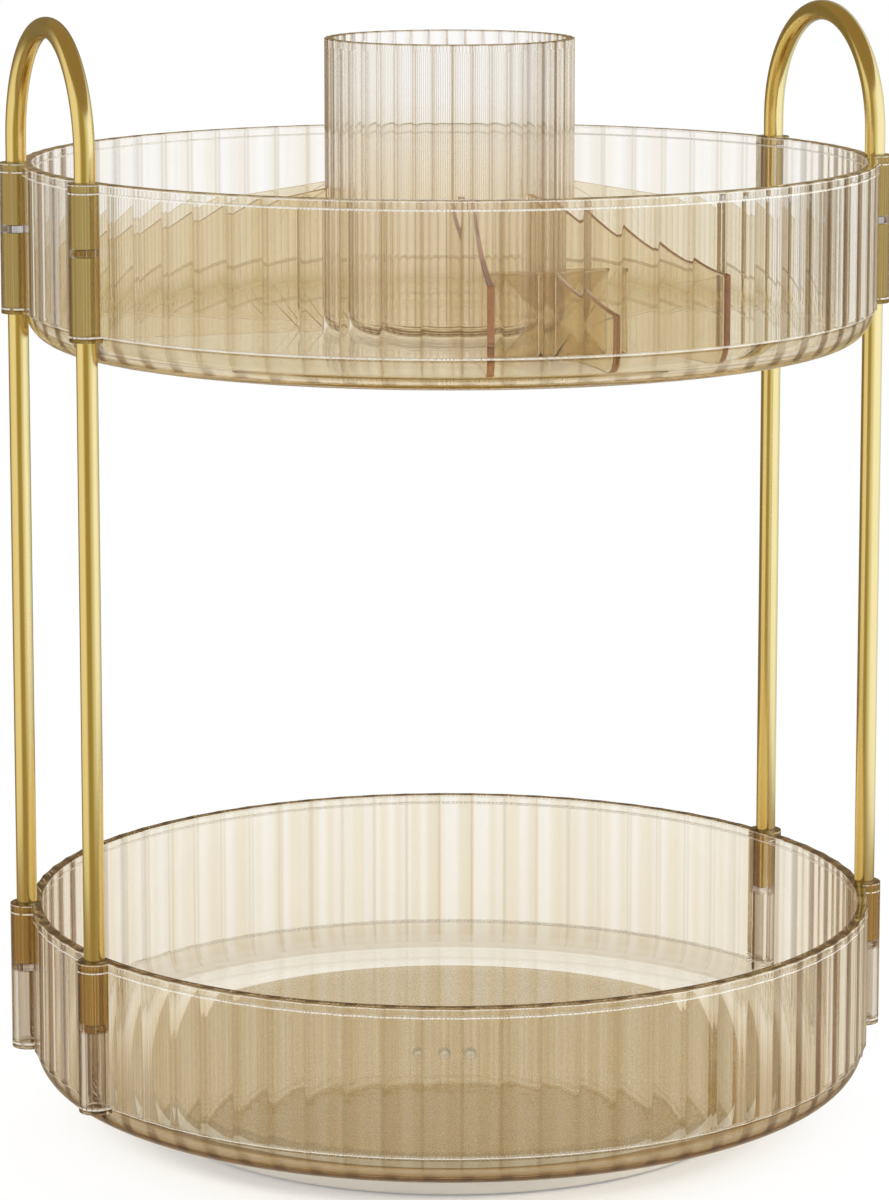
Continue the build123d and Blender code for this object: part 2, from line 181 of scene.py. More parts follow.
# %% Sizes shared by several pieces
TRAY = dict(
    base=124.0, inner=121.6, floor=3.0, rounding=9.5, height=52.0, band=2.8,
    count=72, inner_depth=0.08,
)
LOWER_TRAY, UPPER_TRAY = 12.9, 232.9  # level of each tray's underside
UPPER_FLOOR = UPPER_TRAY + TRAY["floor"]
WEB_LOW, WEB_HIGH = 31.7, 33.7  # stop in each sleeve, above the underside
SLEEVE_CIRCLE, SLEEVE_HALF_ANGLE = 126.0, 15.8
SLEEVE_X = SLEEVE_CIRCLE * math.cos(math.radians(SLEEVE_HALF_ANGLE))
SLEEVE_Y = SLEEVE_CIRCLE * math.sin(math.radians(SLEEVE_HALF_ANGLE))
CUP_FLUTES, CUP_FIRST_RIDGE = 40, -2.3
HAIR_GAP = 0.05  # keeps two clear faces apart where the parts touch
print(f"Tubes at x = {SLEEVE_X:.2f} and y = {SLEEVE_Y:.2f} mm, trays at", LOWER_TRAY, UPPER_TRAY)

# %% [markdown]
# ## How the materials are built
# A material is a network of nodes. It could be drawn in the editor, but then nobody could read
# it here. These helpers make a node, join it to the last one and hand on its result, so that a
# material reads from the inside out, like a formula.

# %% Helpers that make nodes
def plug(tree, term, socket):
    """Join a term to a socket if it is a socket itself, or set it there as a constant."""
    if isinstance(term, bpy.types.NodeSocket):
        tree.links.new(term, socket)
    else:
        socket.default_value = term


def add(tree, kind, settings=None, **sockets):
    """New node. Settings are its properties, and each socket gets a value or another socket."""
    node = tree.nodes.new(kind)
    for key, value in (settings or {}).items():
        setattr(node, key, value)
    for key, value in sockets.items():
        plug(tree, value, node.inputs[key.replace("_", " ")])
    return node


def blank(name):
    """Empty material, its node tree and its output node."""
    material = bpy.data.materials.new(name)
    material.use_nodes = True
    tree = material.node_tree
    tree.nodes.clear()
    return material, tree, add(tree, "ShaderNodeOutputMaterial")


def made(material):
    """Say how many nodes a material has, and hand it on."""
    print(f"{material.name}: {len(material.node_tree.nodes)} nodes")
    return material


def mixed(tree, share, first, second):
    """Shader between the shaders of two nodes, by share."""
    node = add(tree, "ShaderNodeMixShader", Fac=share)
    tree.links.new(first.outputs[0], node.inputs[1])
    tree.links.new(second.outputs[0], node.inputs[2])
    return node.outputs[0]


defined(plug, add, blank, made, mixed)

# %% [markdown]
# Patterns are sums too. Blender's maths nodes work out a number or a colour at every point of a
# surface, and these helpers write such a sum on one line. Each pattern starts from the place on
# the object, in metres, so it keeps its scale and turns with its piece.

# %% Helpers that calculate
def coordinates(tree, kind="Object"):
    """Place, direction or texture coordinates of a point."""
    return add(tree, "ShaderNodeTexCoord").outputs[kind]


def stretched(tree, source, scale):
    """Coordinates from source, scaled along each axis."""
    return add(tree, "ShaderNodeMapping", Vector=source, Scale=scale).outputs["Vector"]


def noise(tree, vector, scale, detail=2.0):
    """Value of a noise texture."""
    settings = dict(Scale=scale, Detail=detail)
    return add(tree, "ShaderNodeTexNoise", Vector=vector, **settings).outputs["Fac"]


def spread(tree, value, low, high):
    """Value from 0..1 moved to low..high."""
    return add(tree, "ShaderNodeMapRange", Value=value, To_Min=low, To_Max=high).outputs["Result"]


def step_up(tree, value, low, high):
    """0 below low, 1 above high, and a ramp between. Low above high turns it round."""
    node = add(tree, "ShaderNodeMapRange", Value=value, From_Min=low, From_Max=high)
    return node.outputs["Result"]


def calc(tree, operation, *terms):
    """Result of a maths node. Each term is a number or a socket."""
    node = add(tree, "ShaderNodeMath", {"operation": operation})
    for term, socket in zip(terms, node.inputs):
        plug(tree, term, socket)
    return node.outputs[0]


def product(tree, first, *others):
    """All terms multiplied."""
    for other in others:
        first = calc(tree, "MULTIPLY", first, other)
    return first


def blend(tree, share, first, second, mode="MIX"):
    """Colour between first and second by share, or with another blend mode."""
    node = add(tree, "ShaderNodeMix", {"data_type": "RGBA", "blend_type": mode})
    plug(tree, share, node.inputs[0])
    for colour, socket in zip((first, second), node.inputs[6:8]):
        plug(tree, colour if isinstance(colour, bpy.types.NodeSocket) else (*colour, 1), socket)
    return node.outputs[2]


def ramp(tree, value, stops, interpolation="LINEAR"):
    """Colour from a ramp whose stops are pairs of a position and a colour."""
    node = add(tree, "ShaderNodeValToRGB", Fac=value)
    node.color_ramp.interpolation = interpolation
    elements = node.color_ramp.elements
    for index, (position, colour) in enumerate(stops):
        element = elements[index] if index < 2 else elements.new(position)
        element.position, element.color = position, (*colour, 1)
    return node.outputs["Color"]


def bump(tree, height, strength, distance):
    """Normal with a bump from a height."""
    node = add(tree, "ShaderNodeBump", Height=height, Strength=strength, Distance=distance)
    return node.outputs["Normal"]


defined(coordinates, stretched, noise, spread, step_up, calc, product, blend, ramp, bump)

# %% [markdown]
# ## Clear amber plastic
# The trays, the cup and the dividers are injection-moulded styrene with a drop of amber dye.
# Real dye works with depth: a thin wall is almost clear, and the end of a plate, where light
# travels far inside, is reddish brown. Volume Absorption does that, but the photographed plastic
# changes more from place to place than its depth explains. So the dye in the volume is weak, and
# each face tints what passes it, more where a mask says so. Lamps would throw black shadows
# through glass, so for shadow rays the plastic is a thin amber filter instead.

# %% Amber plastic
DYE_PER_METRE = 60.0
CLOUD_DARK, CLOUD_LIGHT = 0.98, 1.01  # the tint varies between these shares of it
# Painted highlight: the pale, dull colour that edge masks give in place of bright lines of light.
PAINTED_EDGE_HIGHLIGHT = (0.98, 0.96, 0.90)
SHADOW_FILTER = (0.98, 0.96, 0.91, 1)


def amber(name, tint, keep, patches=(), edges=(), ripple=0.025):
    """Clear plastic. Each face tints what passes by the root of tint, and inside, light loses
    (1 - keep) x DYE_PER_METRE of each colour per metre. A patch multiplies the tint where its
    mask is 1. An edge mask paints a highlight: the surface turns pale and dull there, in place
    of the bright line that light draws along a moulded edge."""
    material, tree, output = blank(name)
    place = coordinates(tree)
    flow = noise(tree, stretched(tree, place, (1.0, 1.0, 0.12)), 60.0, 2.0)
    dark, light = [c * CLOUD_DARK for c in tint], [min(c * CLOUD_LIGHT, 1) for c in tint]
    tone = blend(tree, noise(tree, place, 60.0, 4.0), dark, light)
    for mask, colour in patches:
        tone = blend(tree, mask(tree, place), tone, colour, "MULTIPLY")
    clear = 1.0
    if edges:
        dull = 0.0
        for mask in edges:
            dull = calc(tree, "MAXIMUM", dull, mask(tree, place))
        # Painted highlight: the edge masks turn the surface pale and dull.
        tone, clear = blend(tree, dull, tone, PAINTED_EDGE_HIGHLIGHT), calc(tree, "SUBTRACT", 1.0, dull)
    plastic = add(
        tree, "ShaderNodeBsdfPrincipled", Base_Color=tone, IOR=1.5, Roughness=0.0,
        Transmission_Weight=clear, Normal=bump(tree, flow, ripple, 0.0012),
    )
    shadow_filter = add(tree, "ShaderNodeBsdfTransparent", Color=SHADOW_FILTER)
    for_lamps = add(tree, "ShaderNodeLightPath").outputs["Is Shadow Ray"]
    dye = add(tree, "ShaderNodeVolumeAbsorption", Color=(*keep, 1), Density=DYE_PER_METRE)
    tree.links.new(mixed(tree, for_lamps, plastic, shadow_filter), output.inputs["Surface"])
    tree.links.new(dye.outputs[0], output.inputs["Volume"])
    return made(material)


weakest = math.exp(-DYE_PER_METRE * TRAY["floor"] * MM)
print(f"Over a floor's {TRAY['floor']} mm, the dye leaves at least {weakest:.2f} of any colour")

# %% [markdown]
# A mask is a number from 0 to 1 at each point, and it says where a tone goes. It could be
# painted on an image, but a formula of the place is sharp at any zoom. The simplest ones measure
# the distance, the angle and the level round the upright axis.

# %% Where a point is
def level_of(tree, vector):
    """Upright part of a place or a direction."""
    return add(tree, "ShaderNodeSeparateXYZ", Vector=vector).outputs["Z"]


def vector_calc(tree, operation, *terms, result="Vector"):
    """Result of a vector maths node."""
    node = add(tree, "ShaderNodeVectorMath", {"operation": operation})
    for term, socket in zip(terms, node.inputs):
        plug(tree, term, socket)
    return node.outputs[result]


def axis_distance(tree, place):
    """Distance from the upright axis."""
    flat = vector_calc(tree, "MULTIPLY", place, (1, 1, 0))
    return vector_calc(tree, "LENGTH", flat, result="Value")


def axis_angle(tree, place):
    """Angle round the upright axis, in turns from -0.5 to 0.5."""
    parts = add(tree, "ShaderNodeSeparateXYZ", Vector=place).outputs
    return calc(tree, "DIVIDE", calc(tree, "ARCTAN2", parts["Y"], parts["X"]), 2 * math.pi)


def beyond(tree, place, radius, ramp_width=0.0006):
    """1 outside a radius, which is the wall, and 0 inside it."""
    return step_up(tree, axis_distance(tree, place), radius - ramp_width, radius)


def angle_noise(tree, place, count, detail):
    """Noise along the angle alone. The node's own scale is 5, so it takes 5 x count steps in a
    turn."""
    turns = product(tree, axis_angle(tree, place), count)
    settings = {"noise_dimensions": "1D"}
    return add(tree, "ShaderNodeTexNoise", settings, W=turns, Detail=detail).outputs["Fac"]


def both(first, second):
    """Mask where two masks meet."""
    return lambda tree, place: product(tree, first(tree, place), second(tree, place))


defined(level_of, vector_calc, axis_distance, axis_angle, beyond, angle_noise, both)

# %% [markdown]
# Each flute is a shallow hollow between two sharp ridges. A ridge bends light away and looks
# dark, and a painted shade in the tint makes each ridge a dark line. The plastic flows into the
# mould in streaks. Near the left and right ends of a wall, where it is seen edge on, light runs
# far inside, and each flute shows a dark and a clear half, which is painted shade as well.

# %% Masks of the wall
# Painted shade: dark at a ridge and fading across the flute, for the light a ridge bends away.
RIDGE_TONES = (
    (0, 1.0), (0.035, 0.9), (0.06, 0.3), (0.25, 0.15), (0.5, 0.0), (0.92, 0.05), (0.96, 0.4),
    (1, 1.0),
)


def flute_share(tree, place, count, first):
    """Share of the way from one ridge to the next, for a ring of flutes."""
    turns = calc(tree, "ADD", axis_angle(tree, place), 1.0 - first / 360)
    return calc(tree, "FRACT", product(tree, turns, float(count)))


def flute_lines(count, first, radius):
    """Mask of the flutes of a wall: 1 at a ridge, and a soft fall to 0 across each flute."""
    stops = [(position, (tone, tone, tone)) for position, tone in RIDGE_TONES]

    def mask(tree, place):
        line = ramp(tree, flute_share(tree, place, count, first), stops)
        return product(tree, line, beyond(tree, place, radius))

    return mask


def flute_bands(count, first, radius):
    """Mask of the flutes of a wall seen edge on, for a painted shade: dark after each ridge, clear
    for the rest.
    """

    def mask(tree, place):
        share = flute_share(tree, place, count, first)
        rise, fall = step_up(tree, share, 0.0, 0.05), step_up(tree, share, 0.42, 0.3)
        return product(tree, rise, fall, beyond(tree, place, radius))

    return mask


def streaks(count, radius):
    """Mask of upright streaks in a wall, of random width: noise of the angle alone."""

    def mask(tree, place):
        line = step_up(tree, angle_noise(tree, place, float(count), 0.0), 0.42, 0.60)
        return product(tree, line, beyond(tree, place, radius))

    return mask


def at_grazing(radius, start=0.45, end=0.95):
    """Mask of the parts of a wall that are seen edge on, where light travels far inside. Its tone
    is a painted shade for that long path. It grows from 0 to 1 as the cosine of the angle falls
    from 1 - start to 1 - end."""

    def mask(tree, place):
        facing = add(tree, "ShaderNodeLayerWeight", Blend=0.5).outputs["Facing"]
        return product(tree, step_up(tree, facing, start, end), beyond(tree, place, radius))

    return mask


defined(flute_share, flute_lines, flute_bands, streaks, at_grazing)

# %% [markdown]
# Some tones follow the height instead. The upper tray's floor gets a darker tone, the foot of a
# tray gets a painted shade in its rounding, and painted highlights lie as thin pale lines where
# two surfaces of a moulding meet.

# %% Masks of floors, roundings and edges
def within(radius, level):
    """Mask of everything nearer to the axis than radius and below level: a floor."""

    def mask(tree, place):
        low = step_up(tree, level_of(tree, place), level + 0.0005, level - 0.0005)
        near = step_up(tree, axis_distance(tree, place), radius + 0.001, radius - 0.001)
        return product(tree, low, near)

    return mask


def below(high, low):
    """Mask that grows from 0 at level high to 1 at level low."""
    return lambda tree, place: step_up(tree, level_of(tree, place), high, low)


def near_level(level, half, radius, share=1.0):
    """Mask of a thin ring of the wall at one level, broken into dashes by a noise of the angle."""

    def mask(tree, place):
        off = calc(tree, "ABSOLUTE", calc(tree, "SUBTRACT", level_of(tree, place), level))
        ring = step_up(tree, off, half, half * 0.7)
        dash = step_up(tree, angle_noise(tree, place, 300.0, 2.0), 0.25, 0.55)
        return product(tree, ring, beyond(tree, place, radius, 0.0002), dash, share)

    return mask


def outer_rounding(radius, level, reach):
    """Mask of the outside of a rounded foot: beyond reach from the middle of its arc."""

    def mask(tree, place):
        across = calc(tree, "SUBTRACT", axis_distance(tree, place), radius)
        down = calc(tree, "SUBTRACT", level, level_of(tree, place))
        squares = product(tree, across, across), product(tree, down, down)
        away = calc(tree, "SQRT", calc(tree, "ADD", *squares))
        return product(
            tree, step_up(tree, across, 0.0, 0.002), step_up(tree, down, 0.0, 0.0003),
            step_up(tree, away, reach - 0.0005, reach),
        )

    return mask


def near_sleeves(tube_end, empty):
    """Mask of the four tube sleeves, for a painted image of the tube inside, with streaks along
    them. Below the end of the tube the sleeve is empty, and the mask falls to a smaller share.
    Folding the place onto one quarter makes one sleeve stand for all four."""

    def mask(tree, place):
        folded = vector_calc(tree, "ABSOLUTE", place)
        local = vector_calc(tree, "SUBTRACT", folded, (SLEEVE_X * MM, SLEEVE_Y * MM, 0))
        inside = step_up(tree, axis_distance(tree, local), 0.0051, 0.0050)
        streak = step_up(tree, angle_noise(tree, local, 14.0, 1.0), 0.35, 0.65)
        filled = step_up(tree, level_of(tree, place), tube_end - 0.0002, tube_end)
        return product(
            tree, inside, spread(tree, streak, 0.55, 1.0), spread(tree, filled, empty, 1.0)
        )

    return mask


defined(within, below, near_level, outer_rounding, near_sleeves)

# %% [markdown]
# ## Plastic of the two trays
# The trays come out of one mould, and yet the lower one looks deeper, because it stands on the
# amber turntable and under the upper one. So both share their masks, and each has its own tones:
# the lower tray's deeper tones are painted shade.
# The sleeves are the darkest places of all: the gold tube shows through the plastic there, and
# its image is painted into the tint as a dark tone with streaks along it.

# %% Tray plastic
TRAY_WALL = 0.1205  # everything beyond this radius is wall
# Painted shade of the tray wall: dark ridges, a deeper tint where it is seen edge on, dark bands.
RIDGES, GRAZING = flute_lines(TRAY["count"], 0.0, TRAY_WALL), at_grazing(TRAY_WALL)
BANDS = both(flute_bands(TRAY["count"], 0.0, TRAY_WALL), at_grazing(TRAY_WALL, 0.28, 0.60))
TRAY_STREAKS, LEDGE_RADIUS, FOOT_TONE_FROM = 30, 0.1238, 0.0085
FOOT_ARC = (TRAY["base"] - TRAY["rounding"]) * MM  # radius of the middle of the foot's arc
# Painted shade: dark tones for ridges seen edge on, and thin dark lines at the ledge and rim.
RIDGE_EDGE_ON, LEDGE_LINE, RIM_LINE = (0.22, 0.14, 0.08), (0.40, 0.31, 0.18), (0.45, 0.38, 0.26)


def tray_plastic(name, bottom, tint, keep, tones, patches=(), edges=()):
    """Plastic of a tray with its underside at a level. Tones are those of the ridges, the
    streaks, the wall seen edge on, its bands, and the rounding at the foot."""
    ledge, rim = (bottom + TRAY["rounding"]) * MM, (bottom + TRAY["height"]) * MM
    ridge, streak, edge_on, band, rounding = tones
    shared = (
        (RIDGES, ridge), (streaks(TRAY_STREAKS, TRAY_WALL), streak),
        (GRAZING, edge_on), (BANDS, band),
        # painted shade in the outside of the rounded foot
        (outer_rounding(FOOT_ARC, ledge, FOOT_TONE_FROM), rounding),
        (both(RIDGES, GRAZING), RIDGE_EDGE_ON),
        (near_level(ledge - 0.0006, 0.0003, LEDGE_RADIUS), LEDGE_LINE),
        (near_level(rim - 0.00005, 0.0002, TRAY_WALL), RIM_LINE),
    )
    # Painted highlights: pale lines under the rim, at the foot of the band and at the ledge.
    painted_highlight_lines = (
        near_level(rim - 0.0005, 0.0002, TRAY_WALL, 0.6),
        near_level(rim - TRAY["band"] * MM, 0.00025, TRAY_WALL, 0.8),
        near_level(ledge, 0.0003, TRAY_WALL, 0.8),
    )
    return amber(name, tint, keep, shared + patches, painted_highlight_lines + edges)


amber_upper = tray_plastic(
    "amber_upper_tray", UPPER_TRAY, (0.999, 0.997, 0.992), (0.96, 0.935, 0.86),
    tones=(
        (0.74, 0.67, 0.56), (0.975, 0.955, 0.91), (0.92, 0.88, 0.81), (0.21, 0.135, 0.08),
        (0.88, 0.83, 0.72),
    ),
    patches=(
        # A darker tone on the upper tray's floor.
        (within(0.120, (UPPER_TRAY + TRAY["rounding"]) * MM), (0.81, 0.75, 0.60)),
        # painted shade of the tube seen through the upper sleeves
        (near_sleeves(0.23, 0.5), (0.36, 0.36, 0.42)),
    ),
    # Painted light: a pale band at the foot of the upper tray, over a dark reflection there.
    edges=(near_level(0.2331, 0.0009, 0.112, 0.5),),
)
# Painted shade: deeper tones than the upper tray, for its place under it.
amber_lower = tray_plastic(
    "amber_lower_tray", LOWER_TRAY, (0.977, 0.955, 0.895), (0.93, 0.885, 0.76),
    tones=(
        (0.83, 0.77, 0.67), (0.94, 0.90, 0.82), (0.84, 0.76, 0.65), (0.18, 0.10, 0.055),
        (0.70, 0.64, 0.53),
    ),
    # Painted shade of the tube seen through the lower sleeves
    patches=((near_sleeves((LOWER_TRAY + WEB_LOW) * MM, 0.35), (0.26, 0.16, 0.13)),),
)

# %% [markdown]
# ## Plastic of the cup and the dividers
# The cup is the clearest piece. Its flutes are narrow, so its ridges are dark lines close
# together, painted as shade in its tint like those of the trays, and its foot is a little deeper.
# A divider is clear on its faces and reddish brown on its edges, so it gets the strongest dye and
# no masks.

# %% Cup and divider plastic
CUP_WALL = 0.0336
CUP_RIDGES = flute_lines(CUP_FLUTES, CUP_FIRST_RIDGE, CUP_WALL)
CUP_BANDS = both(
    flute_bands(CUP_FLUTES, CUP_FIRST_RIDGE, CUP_WALL), at_grazing(CUP_WALL, 0.22, 0.55)
)
amber_cup = amber(
    "amber_cup", (1.0, 1.0, 0.995), (0.955, 0.92, 0.84), ripple=0.0,
    patches=(
        (CUP_RIDGES, (0.60, 0.50, 0.37)),
        (CUP_BANDS, (0.18, 0.11, 0.06)),
        (at_grazing(CUP_WALL), (0.84, 0.77, 0.66)),
        (below(0.305, 0.265), (0.95, 0.89, 0.77)),
        # painted shade: a thin dark line under the cup's rim
        (near_level(0.31995, 0.0003, CUP_WALL), (0.40, 0.32, 0.20)),
    ),
)
amber_fin = amber("amber_divider", (0.89, 0.83, 0.68), (0.90, 0.78, 0.66))

# %% [markdown]
# ## Satin plastic of the turntable
# The turntable under the lower tray holds some pigment besides the dye. It glows in its own
# amber and lets only a share of the light through, which hides the bearing. A Principled shader
# with a partial transmission does both, and needs no volume.

# %% Turntable plastic
def satin_amber(name, low, high, through):
    """Amber plastic with a little pigment, so that only a share of the light goes through."""
    material, tree, output = blank(name)
    place = coordinates(tree)
    fine = noise(tree, place, 1500.0, 2.0)
    plastic = add(
        tree, "ShaderNodeBsdfPrincipled", IOR=1.5, Transmission_Weight=through,
        Base_Color=blend(tree, noise(tree, place, 40.0, 4.0), low, high),
        Roughness=spread(tree, fine, 0.22, 0.32), Normal=bump(tree, fine, 0.04, 0.00002),
    )
    tree.links.new(plastic.outputs[0], output.inputs["Surface"])
    return made(material)


amber_plate = satin_amber("amber_plate", (0.47, 0.335, 0.11), (0.53, 0.38, 0.135), 0.35)

# %% [markdown]
# ## Satin gold tube
# The tubes are drawn steel with a satin gold plating. Drawing leaves hairlines along the tube, so
# the roughness and a faint bump follow the tube's own coordinates: the pattern is short round
# the tube and very long along it, also round the bend of a hoop. Object coordinates would run
# across the hoop's top instead.

# %% Gold
def drawn_gold(name):
    """Drawn and plated tube, with hairlines along its own length."""
    material, tree, output = blank(name)
    along = coordinates(tree, "UV")
    hairline = noise(tree, stretched(tree, along, (2600.0, 14.0, 1.0)), 1.0, 4.0)
    cloud = noise(tree, stretched(tree, along, (60.0, 30.0, 1.0)), 1.0, 3.0)
    satin, wear = spread(tree, hairline, 0.16, 0.24), spread(tree, cloud, -0.03, 0.03)
    metal = add(
        tree, "ShaderNodeBsdfPrincipled", Metallic=1.0,
        Base_Color=blend(tree, cloud, (0.77, 0.57, 0.18), (0.83, 0.63, 0.22)),
        Roughness=calc(tree, "ADD", satin, wear), Normal=bump(tree, hairline, 0.12, 0.00003),
    )
    tree.links.new(metal.outputs[0], output.inputs["Surface"])
    return made(material)


gold_tube = drawn_gold("gold_tube_satin")

# %% [markdown]
# ## White foot, rubber pads and black cage
# The foot is moulded with a fine spark-eroded grain, which a strong close-up shows as tiny dents
# in the reflections. The pads are soft grey rubber with a coarser grain, and the ball cage is
# black nylon. Light that reaches the top of the foot has been through the amber turntable, so
# its faces that look up under it get a painted amber shade.

# %% Moulded finishes
def facing_up(tree, place):
    """Mask of the faces that look up."""
    return step_up(tree, level_of(tree, coordinates(tree, "Normal")), 0.2, 0.5)


def moulded(name, low, high, grain, rough, shade=None):
    """Opaque plastic or rubber: a cloudy tone between two colours, under a fine grain. A shade
    is a mask and the colour that multiplies the tone there."""
    material, tree, output = blank(name)
    place = coordinates(tree)
    tone = blend(tree, noise(tree, place, 35.0, 3.0), low, high)
    if shade:
        tone = blend(tree, shade[0](tree, place), tone, shade[1], "MULTIPLY")
    texture = noise(tree, place, 1800.0, 2.0)
    body = add(
        tree, "ShaderNodeBsdfPrincipled", Base_Color=tone,
        Roughness=spread(tree, texture, rough - 0.06, rough + 0.06),
        Normal=bump(tree, texture, grain, 0.00006),
    )
    tree.links.new(body.outputs[0], output.inputs["Surface"])
    return made(material)


white_shell = moulded(
    "white_shell", (0.87, 0.86, 0.86), (0.92, 0.91, 0.91), 0.10, 0.38,
    # painted shade: amber tone on the foot's up-facing faces under the turntable
    shade=(both(within(0.0884, 0.0120), facing_up), (0.50, 0.36, 0.18)),
)
soft_pad = moulded("soft_pad", (0.30, 0.30, 0.29), (0.40, 0.40, 0.39), 0.5, 0.75)
black_nylon = moulded("black_nylon", (0.012, 0.012, 0.013), (0.03, 0.03, 0.032), 0.3, 0.5)

# %% [markdown]
# ## Turned steel
# The races, the balls and the pivot are steel with a bright zinc coat. A lathe leaves its marks
# as circles round the axis, which Blender's wave texture draws as rings. They show as a faint
# bump, and clouds in the roughness stand for the coat.

# %% Steel
def turned_steel(name, colour, rings, rough):
    """Steel turned on a lathe: fine rings round the upright axis, under small clouds."""
    material, tree, output = blank(name)
    place = coordinates(tree)
    marks = add(
        tree, "ShaderNodeTexWave", {"wave_type": "RINGS", "rings_direction": "Z"},
        Vector=place, Scale=rings, Distortion=0.6, Detail=2.0,
    ).outputs["Fac"]
    metal = add(
        tree, "ShaderNodeBsdfPrincipled", Base_Color=(*colour, 1), Metallic=1.0,
        Roughness=spread(tree, noise(tree, place, 260.0, 4.0), rough - 0.08, rough + 0.08),
        Normal=bump(tree, marks, 0.25, 0.00004),
    )
    tree.links.new(metal.outputs[0], output.inputs["Surface"])
    return made(material)


zinc_steel = turned_steel("zinc_steel", (0.80, 0.79, 0.77), 320.0, 0.32)

# %% [markdown]
# ## The fluted tray
# A tray is one moulding: a rounded floor, a wall with 72 hollow flutes outside and 72 inside, a
# plain band inside the rim, and four sleeves for the tubes. Cutting the flutes one by one would
# leave thousands of slivers. Here the wall's radius is a formula of the angle instead: each
# flute is an arc of a circle, and a small rounding stands at each ridge.

# %% Flutes
LAND = 0.016  # share of a flute that the rounded ridge takes on each side
TRAY_RIDGE, TRAY_HOLLOW = 125.0, 124.65
FLUTE_SHARES = np.concatenate([
    np.array([0, 1, 2.5, 6.25, 12.5, 18.75, 25, 31.25, 37.5, 43.75, 50, 56.25]) * LAND,
    [1 - 2.5 * LAND, 1 - LAND],
])  # where the columns of one flute stand, close together at its ridges


def flute_radius(share, count, tip, middle):
    """Radius of a ring of equal arcs at a share of the way from one ridge to the next.

    The circle through both ridges and the middle has radius q, and its centre lies d from the
    axis on the flute's middle line: r = d cos u -/+ sqrt(q2 - d2 sin2 u), with u measured from
    that line. Within LAND of a ridge the arcs give way to a small rounding.
    """
    half = math.pi / count
    sag = tip * math.cos(half) - middle
    q = ((tip * math.sin(half)) ** 2 + sag**2) / (2 * abs(sag))
    side = -1 if sag > 0 else 1
    d = middle - side * q

    def circle(at):
        u = (2 * at - 1) * half
        return d * np.cos(u) + side * np.sqrt(q**2 - (d * np.sin(u)) ** 2)

    to_ridge = np.minimum(share % 1, 1 - share % 1)
    at_land = circle(LAND)
    ridge = at_land + (circle(0.0) - at_land) / 3 * (1 - to_ridge / LAND)
    return np.where(to_ridge < LAND, ridge, circle(to_ridge))


ridge, middle = flute_radius(np.array([0.0, 0.5]), TRAY["count"], TRAY_RIDGE, TRAY_HOLLOW)
print(f"A tray's flute: {ridge:.2f} mm at its ridge, {middle:.2f} mm in its middle")

# %% [markdown]
# A sleeve holds the end of a tube. Seen from above, its bore is a circle beside the axis. The
# tray's columns are rays from the axis, and a ray enters and leaves that circle at two radii.
# The bore can then be a dip in the profile of the columns that cross it, and the tray stays one
# closed surface with no boolean cut.

# %% Round holes beside the axis
SLEEVE_ANGLES = np.array([-15.8, 15.8, 164.2, 195.8])
SLEEVE_RADIUS, BORE_RADIUS = 4.9, 2.98
TWIN = 1e-9  # share of a hole's half angle that a twin column stands beside its edge


def offsets(angles, centres):
    """Signed angle from each column to the nearest of the centres."""
    turn = (angles[:, None] - centres + 180) % 360 - 180
    return turn[np.arange(len(angles)), np.abs(turn).argmin(axis=1)]


def crossing(offset, circle, radius):
    """Radii where a ray enters and leaves a hole: c cos t -/+ sqrt(r2 - c2 sin2 t)."""
    turn = np.radians(offset)
    middle = circle * np.cos(turn)
    half = np.sqrt(np.maximum(radius**2 - (circle * np.sin(turn)) ** 2, 0))
    return middle - half, middle + half


def hole_columns(centres, circle, radius, steps):
    """Columns across round holes, with a pair of twin columns at each edge."""
    edge = math.degrees(math.asin(radius / circle))
    lean = np.radians(np.linspace(-90, 90, steps + 1)[1:-1])
    inside = np.degrees(np.arcsin(radius * np.sin(lean) / circle))
    twins = edge * np.array([-1 - TWIN, -1 + TWIN, 1 - TWIN, 1 + TWIN])
    return (centres[:, None] + np.concatenate([inside, twins])).ravel(), edge


bore_half = hole_columns(SLEEVE_ANGLES, SLEEVE_CIRCLE, BORE_RADIUS, 12)[1]
print(f"Each bore spans {2 * bore_half:.2f} degrees of the tray")

# %% [markdown]
# The tray and the cup are the same kind of vessel. Its profile runs from the middle of the
# underside up the outside, over the rim, down the inside and back to the middle of the floor.
# A few extra rows stand close to each rounding. They hold the flats beside it flat, so that
# smooth shading doesn't bend them.

# %% Profile of a fluted vessel
RIM_ROUNDING = 0.4
FOOT_STEPS, RIM_STEPS, FLOOR_STEPS = 12, 6, 10  # rows in each rounding
SUPPORT = 0.3  # distance of such an extra row from its rounding
STEP_EDGE = 0.12  # small bevel where the flutes start over the rounded foot


